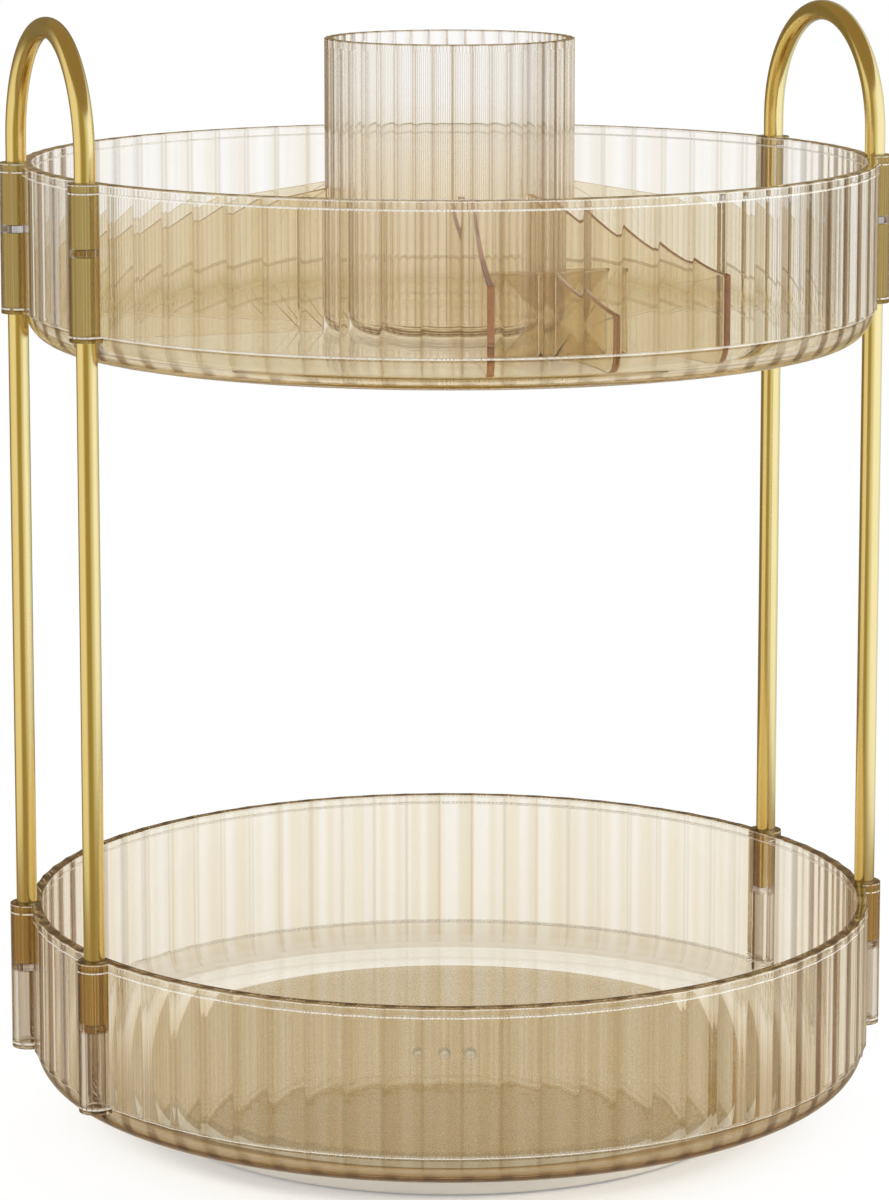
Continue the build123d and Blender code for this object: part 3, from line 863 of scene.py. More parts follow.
def vessel(angles, size, outer, ledge, bore=None):
    """Radius and level of a fluted vessel, for profile rows and angle columns.

    size gives base, inner, floor, rounding, height and band. outer is the outside radius per
    column, ledge the level of the step under it. bore gives the near and far side of the lower
    and the upper bore with their ends; where a column has no bore, near and far are one point.
    """
    flat = size["base"] - size["rounding"]
    lean = np.degrees(np.arcsin((ledge - size["rounding"]) / size["rounding"]))
    stops = np.concatenate([np.linspace(-90, lean.min(), FOOT_STEPS), lean])
    stops = np.unique(np.round(stops, 9))
    turn = np.radians(np.minimum(stops[:, None], lean))  # each column stops at its own ledge
    base_radius = flat + size["rounding"] * np.cos(turn)
    base_level = size["rounding"] * (1 + np.sin(turn))
    top, inner, start = size["height"], size["inner"], ledge + STEP_EDGE
    rows = [(0, 0), (flat / 2, 0), (flat - SUPPORT, 0)]
    if bore:
        rows += list(zip(np.minimum(base_radius, bore["near_limit"]), base_level))
        rows += [(bore["near"], ledge), (bore["near"], bore["end_low"])]
        rows += [(bore["far"], bore["end_low"]), (bore["far"], ledge)]
    else:
        rows += list(zip(base_radius, base_level))
    rows += [(outer - STEP_EDGE, ledge), (outer, start), (outer, start + SUPPORT)]
    rows += [(outer, top - RIM_ROUNDING - SUPPORT)]
    edge = RIM_ROUNDING
    rows += [
        (outer + r, z) for r, z in zip(*arc((-edge, top - edge), edge, 0, 90, RIM_STEPS))
    ]
    if bore:
        rows += [(bore["far_top"], top), (bore["far_top"], bore["end_high"])]
        rows += [(bore["near_top"], bore["end_high"]), (bore["near_top"], top)]
    rows += list(zip(*arc((inner + edge, top - edge), edge, 90, 180, RIM_STEPS)))
    rows += [(inner, top - edge - SUPPORT), (inner, top - size["band"])]
    hollow = flute_radius(size["share"], size["count"], inner, inner + size["inner_depth"])
    rows += [(hollow, top - size["band"]), (hollow, size["rounding"])]
    inner_rounding = size["rounding"] - size["floor"]
    inner_flat = inner - inner_rounding
    rows += list(zip(*arc((inner_flat, size["rounding"]), inner_rounding, 0, -90, FLOOR_STEPS)))
    rows += [(inner_flat - SUPPORT, size["floor"]), (inner_flat / 2, size["floor"])]
    rows += [(0, size["floor"])]
    columns = np.zeros(len(angles))
    return np.stack([columns + r for r, _ in rows]), np.stack([columns + z for _, z in rows])


defined(vessel)

# %% [markdown]
# A tray's columns stand where its flutes need them, and more stand across each sleeve and its
# bore. Where a column meets a sleeve, the outside follows the sleeve's circle. The tube is
# bonded in, so its surface lies just inside the plastic, with no gap for light to catch in.

# %% The two trays
SLEEVE_START = 8.0
LEDGE_SEAM, RIM_SEAM = 124.1, 123.5  # where a column with no bore has its bore's one point
NO_LIMIT = 1e3


def tray_points(bottom):
    """Points of a tray: flutes everywhere, and sleeves where the four tubes stand."""
    pitch = 360 / TRAY["count"]
    plain = (pitch * (np.arange(TRAY["count"])[:, None] + FLUTE_SHARES)).ravel()
    bore_columns, bore_edge = hole_columns(SLEEVE_ANGLES, SLEEVE_CIRCLE, BORE_RADIUS, 12)
    sleeve_columns, sleeve_edge = hole_columns(SLEEVE_ANGLES, SLEEVE_CIRCLE, SLEEVE_RADIUS, 16)
    angles = np.unique(np.concatenate([plain, bore_columns % 360, sleeve_columns % 360]))
    offset = offsets(angles, SLEEVE_ANGLES)
    in_bore, in_sleeve = np.abs(offset) < bore_edge, np.abs(offset) < sleeve_edge
    share = angles / pitch
    flutes = flute_radius(share, TRAY["count"], TRAY_RIDGE, TRAY_HOLLOW)
    outer = np.where(in_sleeve, crossing(offset, SLEEVE_CIRCLE, SLEEVE_RADIUS)[1], flutes)
    ledge = np.where(in_sleeve, SLEEVE_START, TRAY["rounding"])
    near, far = crossing(offset, SLEEVE_CIRCLE, BORE_RADIUS)
    middle = SLEEVE_CIRCLE * np.cos(np.radians(offset))
    low = np.where(in_sleeve, np.minimum(middle, outer - 0.3), LEDGE_SEAM)
    high = np.where(in_sleeve, np.minimum(middle, outer - RIM_ROUNDING - 0.1), RIM_SEAM)
    bore = dict(
        near_limit=np.where(in_bore, near, NO_LIMIT),
        near=np.where(in_bore, near, low), far=np.where(in_bore, far, low),
        near_top=np.where(in_bore, near, high), far_top=np.where(in_bore, far, high),
        end_low=np.where(in_bore, WEB_LOW, ledge),
        end_high=np.where(in_bore, WEB_HIGH, TRAY["height"]),
    )
    radius, level = vessel(angles, dict(TRAY, share=share), outer, ledge, bore)
    return round_about(radius, level + bottom, angles)


surface("lower_tray", tray_points(LOWER_TRAY), "turntable", "amber_clear", amber_lower)
surface("upper_tray", tray_points(UPPER_TRAY), "turntable", "amber_clear", amber_upper)

# %% [markdown]
# ## The brush cup
# The cup is the same kind of moulding with 40 deeper flutes and no sleeves, so the same formula
# draws it. It is a piece of its own, because it lifts out.

# %% Cup
CUP = dict(
    base=35.7, inner=33.9, floor=3.0, rounding=5.0, height=84.0, band=2.4,
    count=CUP_FLUTES, inner_depth=0.3,
)
CUP_RIDGE, CUP_HOLLOW, CUP_BOTTOM = 36.5, 36.0, UPPER_FLOOR + 0.2


def cup_points():
    """Points of the cup, a vessel with flutes and no bores."""
    share = (np.arange(CUP["count"])[:, None] + FLUTE_SHARES).ravel()
    angles = share * 360 / CUP["count"]
    outer = flute_radius(share, CUP["count"], CUP_RIDGE, CUP_HOLLOW)
    ledge = np.full(len(angles), CUP["rounding"])
    radius, level = vessel(angles, dict(CUP, share=share), outer, ledge)
    return round_about(radius, level + CUP_BOTTOM, angles + CUP_FIRST_RIDGE)


surface("brush_cup", cup_points(), "cup", "amber_clear", amber_cup)

# %% [markdown]
# ## Upright dividers
# Each divider is a flat plate with an outline of its own, bonded to the tray. Its long edges are
# slightly rounded from the mould, and those edges catch the light. A Bevel modifier could round
# them. Here the plate is a cushion of outlines instead: a point in the middle of one face, the
# outline pulled in a little, the rounding, and the same on the other face.

# %% Rounded plates
PLATE, PLATE_ROUNDING = 2.0, 0.3


def cushion(outline):
    """Outline and depth of a plate, row by row, from the middle of one face to the other's.
    Round the edge the outline is pulled in by r (1 - sin t), at depth T/2 - r (1 - cos t)."""
    ahead = np.roll(outline, -1, axis=0) - np.roll(outline, 1, axis=0)
    outward = np.stack([ahead[:, 1], -ahead[:, 0]], axis=1)
    outward /= np.linalg.norm(outward, axis=1)[:, None]
    turn = np.radians(np.linspace(0, 90, 5))
    inset = np.concatenate([[PLATE_ROUNDING + SUPPORT], PLATE_ROUNDING * (1 - np.sin(turn))])
    depth = PLATE / 2 - np.concatenate([[0, 0], PLATE_ROUNDING * (1 - np.cos(turn))])
    middle = np.broadcast_to(outline.mean(axis=0), outline.shape)
    face = [middle, *(outline - outward * step for step in inset)]
    rows = np.stack(face + face[::-1])
    depth = np.concatenate([-depth, depth[::-1]])
    return rows, np.broadcast_to(depth[:, None], rows.shape[:2])


defined(cushion)

# %% [markdown]
# The dividers stand on radii, from the cup out to the wall. Each is high at the cup and lower at
# the wall, and its outer foot is rounded to clear the tray's inside corner. The outline is drawn
# flat, as distance from the axis and height, and then turned to the divider's angle.

# %% The dividers of the upper tray
FRONT, SLOT_HALF = 270.0, 16.35  # the front slot lies this far either side of the front
FULL_DIVIDERS = {
    "divider_slot_left": FRONT - SLOT_HALF,
    "divider_slot_right": FRONT + SLOT_HALF,
    "divider_right": 3.6,
    "divider_left": 176.4,
    "divider_back_left": 143.7,
}
DIVIDER_END, DIVIDER_ROUNDINGS = 121.3, (0.3, 6.8, 0.5, 0.5)


def divider(node, angle, start, start_height, end_height):
    """Plate along a radius: (s cos a + d sin a, s sin a - d cos a, h), with distance s from the
    axis, depth d in the plate and height h over the floor."""
    corners = [
        (start, HAIR_GAP), (DIVIDER_END, HAIR_GAP), (DIVIDER_END, end_height),
        (start, start_height),
    ]
    rows, depth = cushion(corner_arcs(corners, DIVIDER_ROUNDINGS, 8))
    turn = math.radians(angle)
    x = rows[..., 0] * math.cos(turn) + depth * math.sin(turn)
    y = rows[..., 0] * math.sin(turn) - depth * math.cos(turn)
    points = np.stack([x, y, rows[..., 1] + UPPER_FLOOR], axis=-1)
    surface(node, points, "turntable", "amber_clear", amber_fin)


for node, angle in FULL_DIVIDERS.items():
    divider(node, angle, start=36.9, start_height=41.4, end_height=25.9)
divider("half_divider", FRONT, start=77.05, start_height=23.6, end_height=17.1)

# %% [markdown]
# The cross wall closes the front slot. It is bent to a circle round the axis and ends against
# the dividers it stands between, so it is the same cushion, wrapped: the way across the plate
# becomes an angle, and depth becomes radius. Extra points along its long sides let it bend.

# %% Cross wall
CROSS_RADIUS, CROSS_HEIGHT, CROSS_ROUNDING, BEND_POINTS = 76.0, 23.6, 0.4, 25
CROSS_END_GAP = PLATE / 2 + 0.05  # half a divider, and the adhesive


def cross_wall():
    """Curved plate: the angle is the way across over the radius, depth adds to the radius."""
    width = CROSS_RADIUS * math.radians(SLOT_HALF) - CROSS_END_GAP
    corners = [
        (-width, HAIR_GAP), (width, HAIR_GAP), (width, CROSS_HEIGHT), (-width, CROSS_HEIGHT)
    ]
    lower_corners, upper_corners = np.split(corner_arcs(corners, CROSS_ROUNDING), 2)
    along = np.linspace(-width + 1, width - 1, BEND_POINTS)
    low = np.stack([along, np.full(BEND_POINTS, HAIR_GAP)], axis=1)
    high = np.stack([along[::-1], np.full(BEND_POINTS, CROSS_HEIGHT)], axis=1)
    # This order folds the outline back along both long edges, which leaves stray faces across
    # the bend. To go round once, each row of bend points would stand between its two corners.
    rows, depth = cushion(np.vstack([low, lower_corners, high, upper_corners]))
    radius = CROSS_RADIUS + depth
    turn = math.radians(FRONT) + rows[..., 0] / CROSS_RADIUS
    points = np.stack(
        [radius * np.cos(turn), radius * np.sin(turn), rows[..., 1] + UPPER_FLOOR], axis=-1
    )
    surface("cross_wall", points, "turntable", "amber_clear", amber_fin)


cross_wall()

# %% [markdown]
# ## Gold tubes
# Four straight posts stand between the trays and two hoops are the handles. All are the same
# 6 mm tube. A tube is a circle carried along a line, outside on the way up and inside on the way
# back. Its texture coordinates run along it in metres, so the drawn hairlines keep their scale.

# %% Tubes
TUBE_RADIUS, TUBE_INSIDE, TUBE_EDGE, TUBE_SIDES = 3.0, 2.3, 0.15, 48


def tube(node, line, stations):
    """Tube along line(s) -> (point, direction): P + r (cos t e1 + sin t e2) with e1 along X."""
    out = np.insert(
        stations, [1, len(stations) - 1], [TUBE_EDGE, stations[-1] - TUBE_EDGE]
    )
    outside = np.full(len(out), TUBE_RADIUS)
    outside[[0, -1]] -= TUBE_EDGE
    along = np.concatenate([out, out[::-1]])
    radius = np.concatenate([outside, np.full(len(out), TUBE_INSIDE)])[:, None, None]
    centre, heading = line(along)
    turn = np.linspace(0, 2 * np.pi, TUBE_SIDES + 1)
    first = np.array([1.0, 0.0, 0.0])
    second = np.cross(heading, first)[:, None]
    around = np.cos(turn)[None, :-1, None] * first + np.sin(turn)[None, :-1, None] * second
    uv = np.stack(np.broadcast_arrays(turn * TUBE_RADIUS * MM, along[:, None] * MM), axis=-1)
    uv = np.concatenate([uv, uv[:1]])
    points = centre[:, None] + radius * around
    surface(node, points, "turntable", "gold_tube", gold_tube, loop=True, uv=uv)


def post(node, x, y):
    """Straight tube from the web of the lower sleeve to the web of the upper one."""
    low, high = LOWER_TRAY + WEB_HIGH + HAIR_GAP, UPPER_TRAY + WEB_LOW - HAIR_GAP

    def line(s):
        point = np.stack([np.full_like(s, x), np.full_like(s, y), low + s], axis=-1)
        return point, np.broadcast_to([0.0, 0.0, 1.0], point.shape)

    tube(node, line, np.linspace(0, high - low, 12))


defined(tube, post)

# %% [markdown]
# A hoop is the same tube along an upside-down U. Its line is one formula: up a leg, half a
# circle over to the back, and down a leg. The direction turns with it, so the circle is always
# square to the line.

# %% Posts and handles
BEND_LEVEL = 291.2  # where the legs end and the half circle starts


def hoop(node, x):
    """Upside-down U: a leg up, half a circle over, a leg down. Its height is leg + R sin t."""
    low = UPPER_TRAY + WEB_HIGH + HAIR_GAP
    leg = BEND_LEVEL - low
    bend = SLEEVE_Y

    def line(s):
        turn = np.clip((s - leg) / bend, 0, np.pi)
        down = np.maximum(s - leg - np.pi * bend, 0)
        z = low + np.minimum(s, leg) + bend * np.sin(turn) - down
        point = np.stack([np.full_like(s, x), -bend * np.cos(turn), z], axis=-1)
        return point, np.stack([0 * s, np.sin(turn), np.cos(turn)], axis=-1)

    curve = leg + bend * np.linspace(0, np.pi, 65)
    stations = np.concatenate([[0, leg / 2], curve, [curve[-1] + leg / 2, curve[-1] + leg]])
    tube(node, line, stations)


for side, x in (("right", SLEEVE_X), ("left", -SLEEVE_X)):
    post(f"post_{side}_front", x, -SLEEVE_Y)
    post(f"post_{side}_back", x, SLEEVE_Y)
    hoop(f"handle_{side}", x)

# %% [markdown]
# ## The foot and the turntable
# Both are turned shapes: a closed profile swung round the axis, as the Spin tool does. Each
# corner of the profile is written as radius, level and rounding. The foot's underside also has
# six round recesses for its pads, and these are dips, like the bores of the sleeves.

# %% Foot
ROUND = np.arange(0, 360, 2.0)
PAD_CIRCLE, PAD_ANGLES = 69.0, np.arange(6) * 60.0
RECESS_RADIUS, FOOT_BOTTOM, RECESS_TOP = 6.1, 0.5, 1.5
FOOT_CORNERS = [
    (81.4, 0.5, 0.2), (81.4, 7.0, 0.4), (87.6, 7.0, 0.4), (87.6, 0.5, 0.2), (90.0, 0.5, 0.8),
    (90.0, 9.4, 0.5), (79.0, 9.4, 0.4), (79.0, 3.5, 0.1), (10.0, 3.5, 0.1), (10.0, 5.1, 0.3),
    (3.05, 5.1, 0.1), (3.05, 2.3, 0.1), (6.3, 2.3, 0.1), (6.3, 0.5, 0.2),
]


def rounded(corners, steps=4):
    """Closed profile from corners of radius, level and rounding."""
    corners = np.array(corners)
    return corner_arcs(corners[:, :2], corners[:, 2], steps)


def foot():
    """Foot: plate, hollow rim and boss, with a dip in the columns that cross a pad recess."""
    across, edge = hole_columns(PAD_ANGLES, PAD_CIRCLE, RECESS_RADIUS, 16)
    angles = np.unique(np.concatenate([ROUND, across % 360]))
    offset = offsets(angles, PAD_ANGLES)
    crossed = np.abs(offset) < edge
    middle = PAD_CIRCLE * np.cos(np.radians(offset))
    near, far = (
        np.where(crossed, side, middle) for side in crossing(offset, PAD_CIRCLE, RECESS_RADIUS)
    )
    deep = np.where(crossed, RECESS_TOP, FOOT_BOTTOM)
    rows = [(r, z) for r, z in rounded(FOOT_CORNERS, 6)]
    rows += [(near, FOOT_BOTTOM), (near, deep), (far, deep), (far, FOOT_BOTTOM)]
    radius = np.stack([0 * angles + r for r, _ in rows])
    level = np.stack([0 * angles + z for _, z in rows])
    points = round_about(radius, level, angles)
    surface("foot_base", points, "foot", "white_plastic", white_shell, loop=True)


foot()

# %% [markdown]
# The turntable is a plain disc with a seat for the nut in its middle and a rib that keeps the
# upper race in place. It carries the lower tray, a hair's breadth under it.

# %% Turntable
PLATE_TOP = LOWER_TRAY - HAIR_GAP
PLATE_CORNERS = [
    (3.05, 5.4, 0.1), (10.0, 5.4, 0.3), (10.0, 9.9, 0.2), (65.6, 9.9, 0.2), (65.6, 8.7, 0.3),
    (66.8, 8.7, 0.3), (66.8, 9.9, 0.2), (95.0, 9.9, 0.6), (95.0, PLATE_TOP, 0.6),
    (5.5, PLATE_TOP, 0.2), (5.5, 9.15, 0.1), (3.05, 9.15, 0.1),
]


def turned(node, profile, body, slot, finish, angles=ROUND):
    """Closed profile swung round the axis."""
    points = round_about(profile[:, :1], profile[:, 1:], angles)
    surface(node, points, body, slot, finish, loop=True)


turned("turntable_plate", rounded(PLATE_CORNERS), "turntable", "amber_clear", amber_plate)

# %% [markdown]
# ## Bearing
# The turntable's pigment hides the bearing, but the organizer turns on it, so it is made whole.
# Two turned races face each other, each with a round groove, and 24 balls run between them. The
# balls and their cage come from the CAD model as they are: a ball needs nothing but steel.

# %% Races, balls and cage
BALL_CIRCLE, BALL_LEVEL, GROOVE = 72.9, 6.7, 2.3
RACE_INSIDE, RACE_OUTSIDE = 66.9, 78.9


def race(node, body, back, face):
    """Ring from its flat back to its face, with the groove's arc round the ball in the face."""
    side = 1 if face > BALL_LEVEL else -1
    reach = math.degrees(math.asin((face - BALL_LEVEL) / GROOVE))
    groove = arc((BALL_CIRCLE, BALL_LEVEL), GROOVE, reach, side * 180 - reach, 16)
    ring = [(RACE_INSIDE, face), (RACE_INSIDE, back), (RACE_OUTSIDE, back), (RACE_OUTSIDE, face)]
    profile = np.vstack([ring, np.stack(groove, axis=1)])[::-side]
    turned(node, profile, body, "bright_steel", zinc_steel)


race("bearing_race_lower", "foot", 3.5, 5.5)
race("bearing_race_upper", "turntable", 9.9 - HAIR_GAP, 7.9)

for node, finish in (("bearing_balls", zinc_steel), ("bearing_cage", black_nylon)):
    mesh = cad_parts[node].data
    mesh.materials.clear()
    mesh.materials.append(finish)
    print(f"{node}: {len(mesh.polygons)} CAD faces, in {finish.name}")

# %% [markdown]
# ## Pivot
# A shaft holds the turntable on the foot. Its head sits under the foot, a washer lies in the
# turntable's seat, and a nut closes it on a threaded stud. The thread is a true helix in the
# mesh: the radius swings like a cosine of the height, shifted by the angle, so that its ridge
# climbs by one pitch in each turn.

# %% Shaft
FINE_ROUND = np.arange(0, 360, 7.5)
HEAD_CORNERS = [
    (0.01, 1.1, 0.001), (6.0, 1.1, 0.3), (6.0, 2.3, 0.2), (3.0, 2.3, 0.1), (3.0, 9.2, 0.15),
    (0.01, 9.2, 0.001),
]
CORNER_POINTS = 5  # that rounded() gives each corner
STUD_RADIUS, STUD_LOW, STUD_HIGH, STUD_END, STUD_ROWS = 1.88, 9.2, 12.35, 12.5, 46
THREAD_DEPTH, THREAD_PITCH = 0.12, 0.7


def shaft():
    """Headed shaft with a thread on its stud: r = R + d cos(2 pi z / pitch - angle)."""
    head = rounded(HEAD_CORNERS)[:-CORNER_POINTS]
    stud = np.linspace(STUD_LOW, STUD_HIGH, STUD_ROWS)
    level = np.concatenate([head[:, 1], stud, [STUD_END, STUD_END]])
    plain = np.concatenate([[0.0], head[1:, 0], np.full(STUD_ROWS, STUD_RADIUS), [1.7, 0.0]])
    radius = np.repeat(plain[:, None], len(FINE_ROUND), axis=1)
    turns = 2 * np.pi * stud[:, None] / THREAD_PITCH - np.radians(FINE_ROUND)
    radius[len(head):len(head) + STUD_ROWS] += THREAD_DEPTH * np.cos(turns)
    points = round_about(radius, level[:, None], FINE_ROUND)
    surface("pivot_shaft", points, "foot", "bright_steel", zinc_steel)


shaft()

# %% [markdown]
# The washer is a turned ring. The nut is a hexagon: its radius is the distance to a flat over
# the cosine of the angle from it. A cone cuts its corners at both ends, as on every real nut.

# %% Washer and nut
WASHER_CORNERS = [(2.15, 9.2, 0.15), (4.5, 9.2, 0.15), (4.5, 10.0, 0.15), (2.15, 10.0, 0.15)]
NUT_LOW, NUT_HIGH, NUT_FLAT, NUT_BORE = 10.0, 12.2, 3.5, 2.15
NUT_CHAMFER, NUT_CONE, NUT_UNCUT = 0.35, 4.1, 9.0


def nut():
    """Hexagon: apothem / cos(angle to the nearest flat), its corners cut by a cone."""
    to_flat = np.radians((FINE_ROUND + 30) % 60 - 30)
    low, high = NUT_LOW + NUT_CHAMFER, NUT_HIGH - NUT_CHAMFER
    level = np.array([NUT_LOW, low, low, high, high, NUT_HIGH, NUT_HIGH, NUT_LOW])
    cone = np.array([NUT_FLAT, NUT_CONE, NUT_UNCUT, NUT_UNCUT, NUT_CONE, NUT_FLAT])
    outside = np.minimum(NUT_FLAT / np.cos(to_flat), cone[:, None])
    radius = np.vstack([outside, np.full((2, len(FINE_ROUND)), NUT_BORE)])
    points = round_about(radius, level[:, None], FINE_ROUND)
    surface("pivot_nut", points, "foot", "bright_steel", zinc_steel, loop=True)


turned("pivot_washer", rounded(WASHER_CORNERS), "foot", "bright_steel", zinc_steel, FINE_ROUND)
nut()

# %% [markdown]
# ## Pads
# Six rubber discs keep the foot from sliding. They are alike, so one disc is worked out and
# copied to its six places in one table, as an Array modifier would do it.

# %% Pads
PAD_CORNERS = [(0.0, 0.0, 0.0), (6.0, 0.0, 0.35), (6.0, 1.5, 0.2), (0.0, 1.5, 0.0)]


def pads():
    """Six discs in one piece, each the same profile swung round its own middle."""
    profile = rounded(PAD_CORNERS, 6)
    disc = round_about(profile[:, :1], profile[:, 1:], FINE_ROUND)
    middles = round_about(np.array([[PAD_CIRCLE]]), 0.0, PAD_ANGLES)[0]
    points = disc + middles[:, None, None]
    surface("foot_pads", points, "foot", "soft_rubber", soft_pad)


pads()

# %% [markdown]
# ## Studio
# The photograph shows the object on pure white, so the camera sees white. Clear plastic is only
# as bright as what stands behind it, so rays through it see white too, dimmer far up and down.
# Mirrored rays see a dim warm brown, like a room behind the camera. Light that falls on dull
# surfaces is a plain soft grey, so that nothing white burns out.

# %% Background
DARK_ROOM, CEILING, WHITE = (0.32, 0.25, 0.15), (0.42, 0.35, 0.24), (1.0, 1.0, 1.0)


def shown_rays(tree):
    """1 for rays that end in the picture, straight, mirrored or through glass, and 0 for light
    that falls on a dull surface."""
    path = add(tree, "ShaderNodeLightPath").outputs
    seen = calc(tree, "MAXIMUM", path["Is Glossy Ray"], path["Is Transmission Ray"])
    seen = calc(tree, "MAXIMUM", path["Is Camera Ray"], seen)
    return product(tree, seen, calc(tree, "LESS_THAN", path["Diffuse Depth"], 0.5))


def mirrored_rays(tree):
    """1 for mirrored rays. A ray through glass counts as glossy too, so that is taken off."""
    path = add(tree, "ShaderNodeLightPath").outputs
    return calc(tree, "SUBTRACT", path["Is Glossy Ray"], path["Is Transmission Ray"])


def studio_world():
    """White for the camera, white with a dimmer ceiling and ground for rays through plastic, the
    dark room for mirrored rays, and a softer grey for the light that falls on surfaces."""
    world = bpy.data.worlds.new("studio")
    bpy.context.scene.world = world
    world.use_nodes = True
    tree = world.node_tree
    tree.nodes.clear()
    height = calc(tree, "ABSOLUTE", level_of(tree, coordinates(tree, "Generated")))
    camera_ray = add(tree, "ShaderNodeLightPath").outputs["Is Camera Ray"]
    others = calc(tree, "SUBTRACT", 1.0, camera_ray)
    room = blend(tree, product(tree, step_up(tree, height, 0.35, 0.75), others), WHITE, CEILING)
    room = blend(tree, mirrored_rays(tree), room, DARK_ROOM)
    falling = add(tree, "ShaderNodeBackground", Color=(0.97, 0.98, 1.0, 1), Strength=0.6)
    shown = add(tree, "ShaderNodeBackground", Color=room, Strength=1.0)
    output = add(tree, "ShaderNodeOutputWorld")
    tree.links.new(mixed(tree, shown_rays(tree), falling, shown), output.inputs["Surface"])
    print("world:", len(tree.nodes), "nodes")


studio_world()

# %% [markdown]
# The floor has to be two things at once: pure white, as in the photograph, and a surface that
# takes the object's shadow. So it is lit like any surface near the foot and turns into a plain
# white glow further out. Through the plastic its lit part has an amber tone, which stands for
# the light that the trays gather under themselves.

# %% Floor
FLOOR_HALF, FLOOR_LEVEL = 30.0, -0.00005  # metres; just under the pads
FLOOR_PALE, FLOOR_UNDER_AMBER = (0.9, 0.9, 0.9), (0.50, 0.35, 0.16)


def plain_mesh(name, points, faces, material):
    """Stage object from points in metres."""
    mesh = bpy.data.meshes.new(name)
    mesh.from_pydata(points, [], faces)
    mesh.materials.append(material)
    stage = bpy.data.objects.new(name, mesh)
    bpy.context.scene.collection.objects.link(stage)
    print(f"{name}: {len(faces)} faces")
    return stage


def floor():
    """Pale floor. White grows with the distance from the axis: most of it between 75 and
    120 mm, and the rest as far as 400 mm."""
    material, tree, output = blank("studio_floor")
    through = add(tree, "ShaderNodeLightPath").outputs["Is Transmission Ray"]
    pale = blend(tree, through, FLOOR_PALE, FLOOR_UNDER_AMBER)
    lit = add(tree, "ShaderNodeBsdfDiffuse", Color=pale)
    glow_tone = blend(tree, mirrored_rays(tree), WHITE, DARK_ROOM)
    glow = add(tree, "ShaderNodeEmission", Color=glow_tone, Strength=1.0)
    away = axis_distance(tree, coordinates(tree))
    away = calc(tree, "SUBTRACT", away, product(tree, through, 0.02))
    near_white = product(tree, step_up(tree, away, 0.075, 0.12), 0.85)
    far_white = product(tree, step_up(tree, away, 0.12, 0.4), 0.15)
    white = product(tree, shown_rays(tree), calc(tree, "ADD", near_white, far_white))
    tree.links.new(mixed(tree, white, lit, glow), output.inputs["Surface"])
    corners = [(-1, -1), (1, -1), (1, 1), (-1, 1)]
    points = [(x * FLOOR_HALF, y * FLOOR_HALF, FLOOR_LEVEL) for x, y in corners]
    plain_mesh("studio_floor", points, [(0, 1, 2, 3)], made(material))


floor()

# %% [markdown]
# Metal is only a mirror, so satin gold needs something to mirror. A photographer stands a tent
# of light and dark cloth round such an object, out of the picture. Here it is a ring of soft
# light and dark strips that only blurred reflections can see, so the sharp mirror of the clear
# plastic passes through it.

# %% Reflection tent
CAMERA_SIDE = -21.47  # direction of the camera, in degrees from -Y towards +X
TENT_RADIUS, TENT_LOW, TENT_HIGH = 0.42, 0.002, 0.552
TENT_STRIPS = [  # direction from the camera side to its right, and what the cloth sends back
    (-180, (0.24, 0.20, 0.12)), (-120, (0.24, 0.20, 0.12)), (-92, (0.95, 0.95, 1.00)),
    (-52, (1.00, 1.03, 1.18)), (-32, (0.40, 0.34, 0.16)), (-10, (0.40, 0.34, 0.16)),
    (24, (0.84, 0.90, 1.00)), (52, (1.17, 1.35, 2.10)), (92, (1.17, 1.35, 2.10)),
    (130, (0.77, 0.90, 1.10)), (180, (0.24, 0.20, 0.12)),
]


def cloth():
    """Glowing cloth: its brightness is a function of the direction from the axis alone."""
    material, tree, output = blank("studio_tent")
    turn = add(tree, "ShaderNodeMapping", Vector=coordinates(tree))
    turn.inputs["Rotation"].default_value = (0, 0, math.radians(90 - CAMERA_SIDE))
    settings = {"gradient_type": "RADIAL"}
    around = add(tree, "ShaderNodeTexGradient", settings, Vector=turn.outputs[0])
    stops = [(angle / 360 + 0.5, colour) for angle, colour in TENT_STRIPS]
    strips = ramp(tree, around.outputs["Fac"], stops, "EASE")
    glow = add(tree, "ShaderNodeEmission", Color=strips, Strength=1.0)
    clear = add(tree, "ShaderNodeBsdfTransparent")
    sharp = add(tree, "ShaderNodeLightPath").outputs["Is Singular Ray"]
    tree.links.new(mixed(tree, sharp, glow, clear), output.inputs["Surface"])
    return made(material)


def tent():
    """Ring of cloth round the object, seen by reflections only."""
    angles = np.radians(np.arange(0, 360, 5))
    ring = TENT_RADIUS * np.stack([np.cos(angles), np.sin(angles), 0 * angles], axis=-1)
    points = np.vstack([ring + [0, 0, TENT_LOW], ring + [0, 0, TENT_HIGH]])
    count = len(angles)
    here, there = np.arange(count), (np.arange(count) + 1) % count
    faces = np.stack([here, there, there + count, here + count], axis=-1)
    stage = plain_mesh("studio_tent", points.tolist(), faces.tolist(), cloth())
    for kind in ("camera", "diffuse", "transmission", "shadow", "volume_scatter"):
        setattr(stage, f"visible_{kind}", False)


tent()

# %% [markdown]
# Three softboxes light the object: a key at the right, a fill at the left, and one above and
# behind. A lamp would show as a bright square in every clear wall, so the camera, mirrors and
# rays through the plastic don't see them. They only light the dull surfaces.

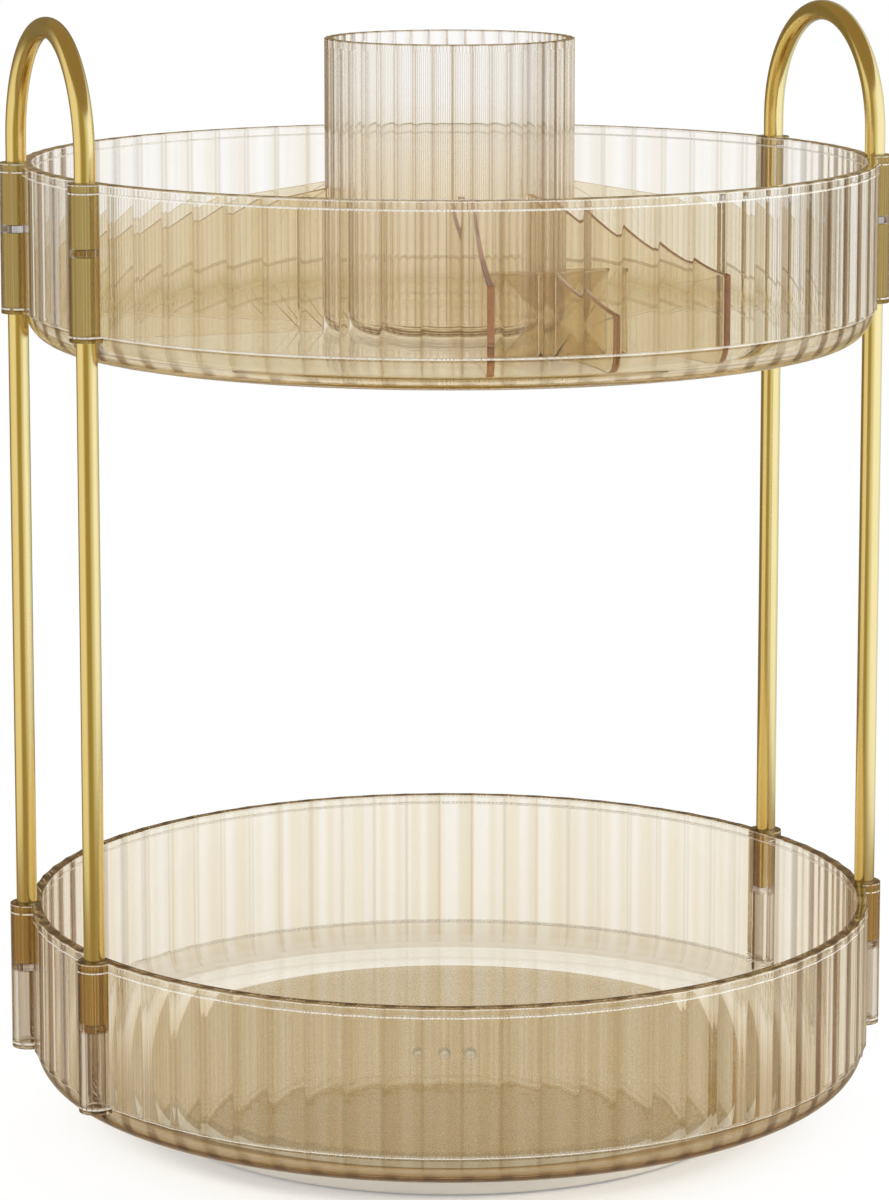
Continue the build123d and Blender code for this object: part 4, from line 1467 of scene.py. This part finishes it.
# %% Lamps
AIM = np.array([0, 0, 0.16])  # middle of the organizer


def softbox(name, azimuth, elevation, distance, size, power):
    """Square lamp that faces the middle of the organizer. Azimuth 0 is the side of -Y."""
    lamp = bpy.data.lights.new(name, "AREA")
    lamp.shape, lamp.size, lamp.energy = "SQUARE", size, power
    box = bpy.data.objects.new(name, lamp)
    a, e = math.radians(azimuth), math.radians(elevation)
    back = np.array([math.sin(a) * math.cos(e), -math.cos(a) * math.cos(e), math.sin(e)])
    box.location = AIM + back * distance
    box.rotation_euler = (math.pi / 2 - e, 0, a)
    box.visible_camera = box.visible_glossy = box.visible_transmission = False
    bpy.context.scene.collection.objects.link(box)
    print(f"{name}: {power} W from {azimuth:.0f} degrees, {elevation} degrees up")


softbox("key_lamp", CAMERA_SIDE + 70, 40, 1.6, 0.7, 14.5)
softbox("fill_lamp", CAMERA_SIDE - 65, 25, 1.8, 0.9, 9)
softbox("top_lamp", CAMERA_SIDE + 180, 70, 1.6, 1.0, 12.5)

# %% [markdown]
# ## Camera
# The lens is long and stands about 1.26 m from the upright axis, a little above the upper tray.
# Its place comes from matching the rims, tubes and foot with the photograph. Light has to pass
# many walls of clear plastic on its way, so far more bounces are allowed than by default.

# %% Camera and light paths
BOUNCES = 128

eye = bpy.data.cameras.new("camera")
eye.lens, eye.sensor_width, eye.shift_y = 130.21, 36.0, -0.15
eye.clip_start, eye.clip_end = 0.05, 100
camera = bpy.data.objects.new("camera", eye)
camera.location = (-0.46415, -1.17604, 0.39904)
camera.rotation_euler = (math.radians(90 - 8.616), 0, math.radians(CAMERA_SIDE))
bpy.context.scene.collection.objects.link(camera)
bpy.context.scene.camera = camera

scene = bpy.context.scene
scene.view_settings.view_transform = "Standard"
scene.cycles.max_bounces = BOUNCES
scene.cycles.transmission_bounces = BOUNCES
scene.cycles.glossy_bounces = BOUNCES
scene.cycles.transparent_max_bounces = 32
print(f"camera: {camera.location.xy.length:.2f} m from the axis, lens {eye.lens:.0f} mm")
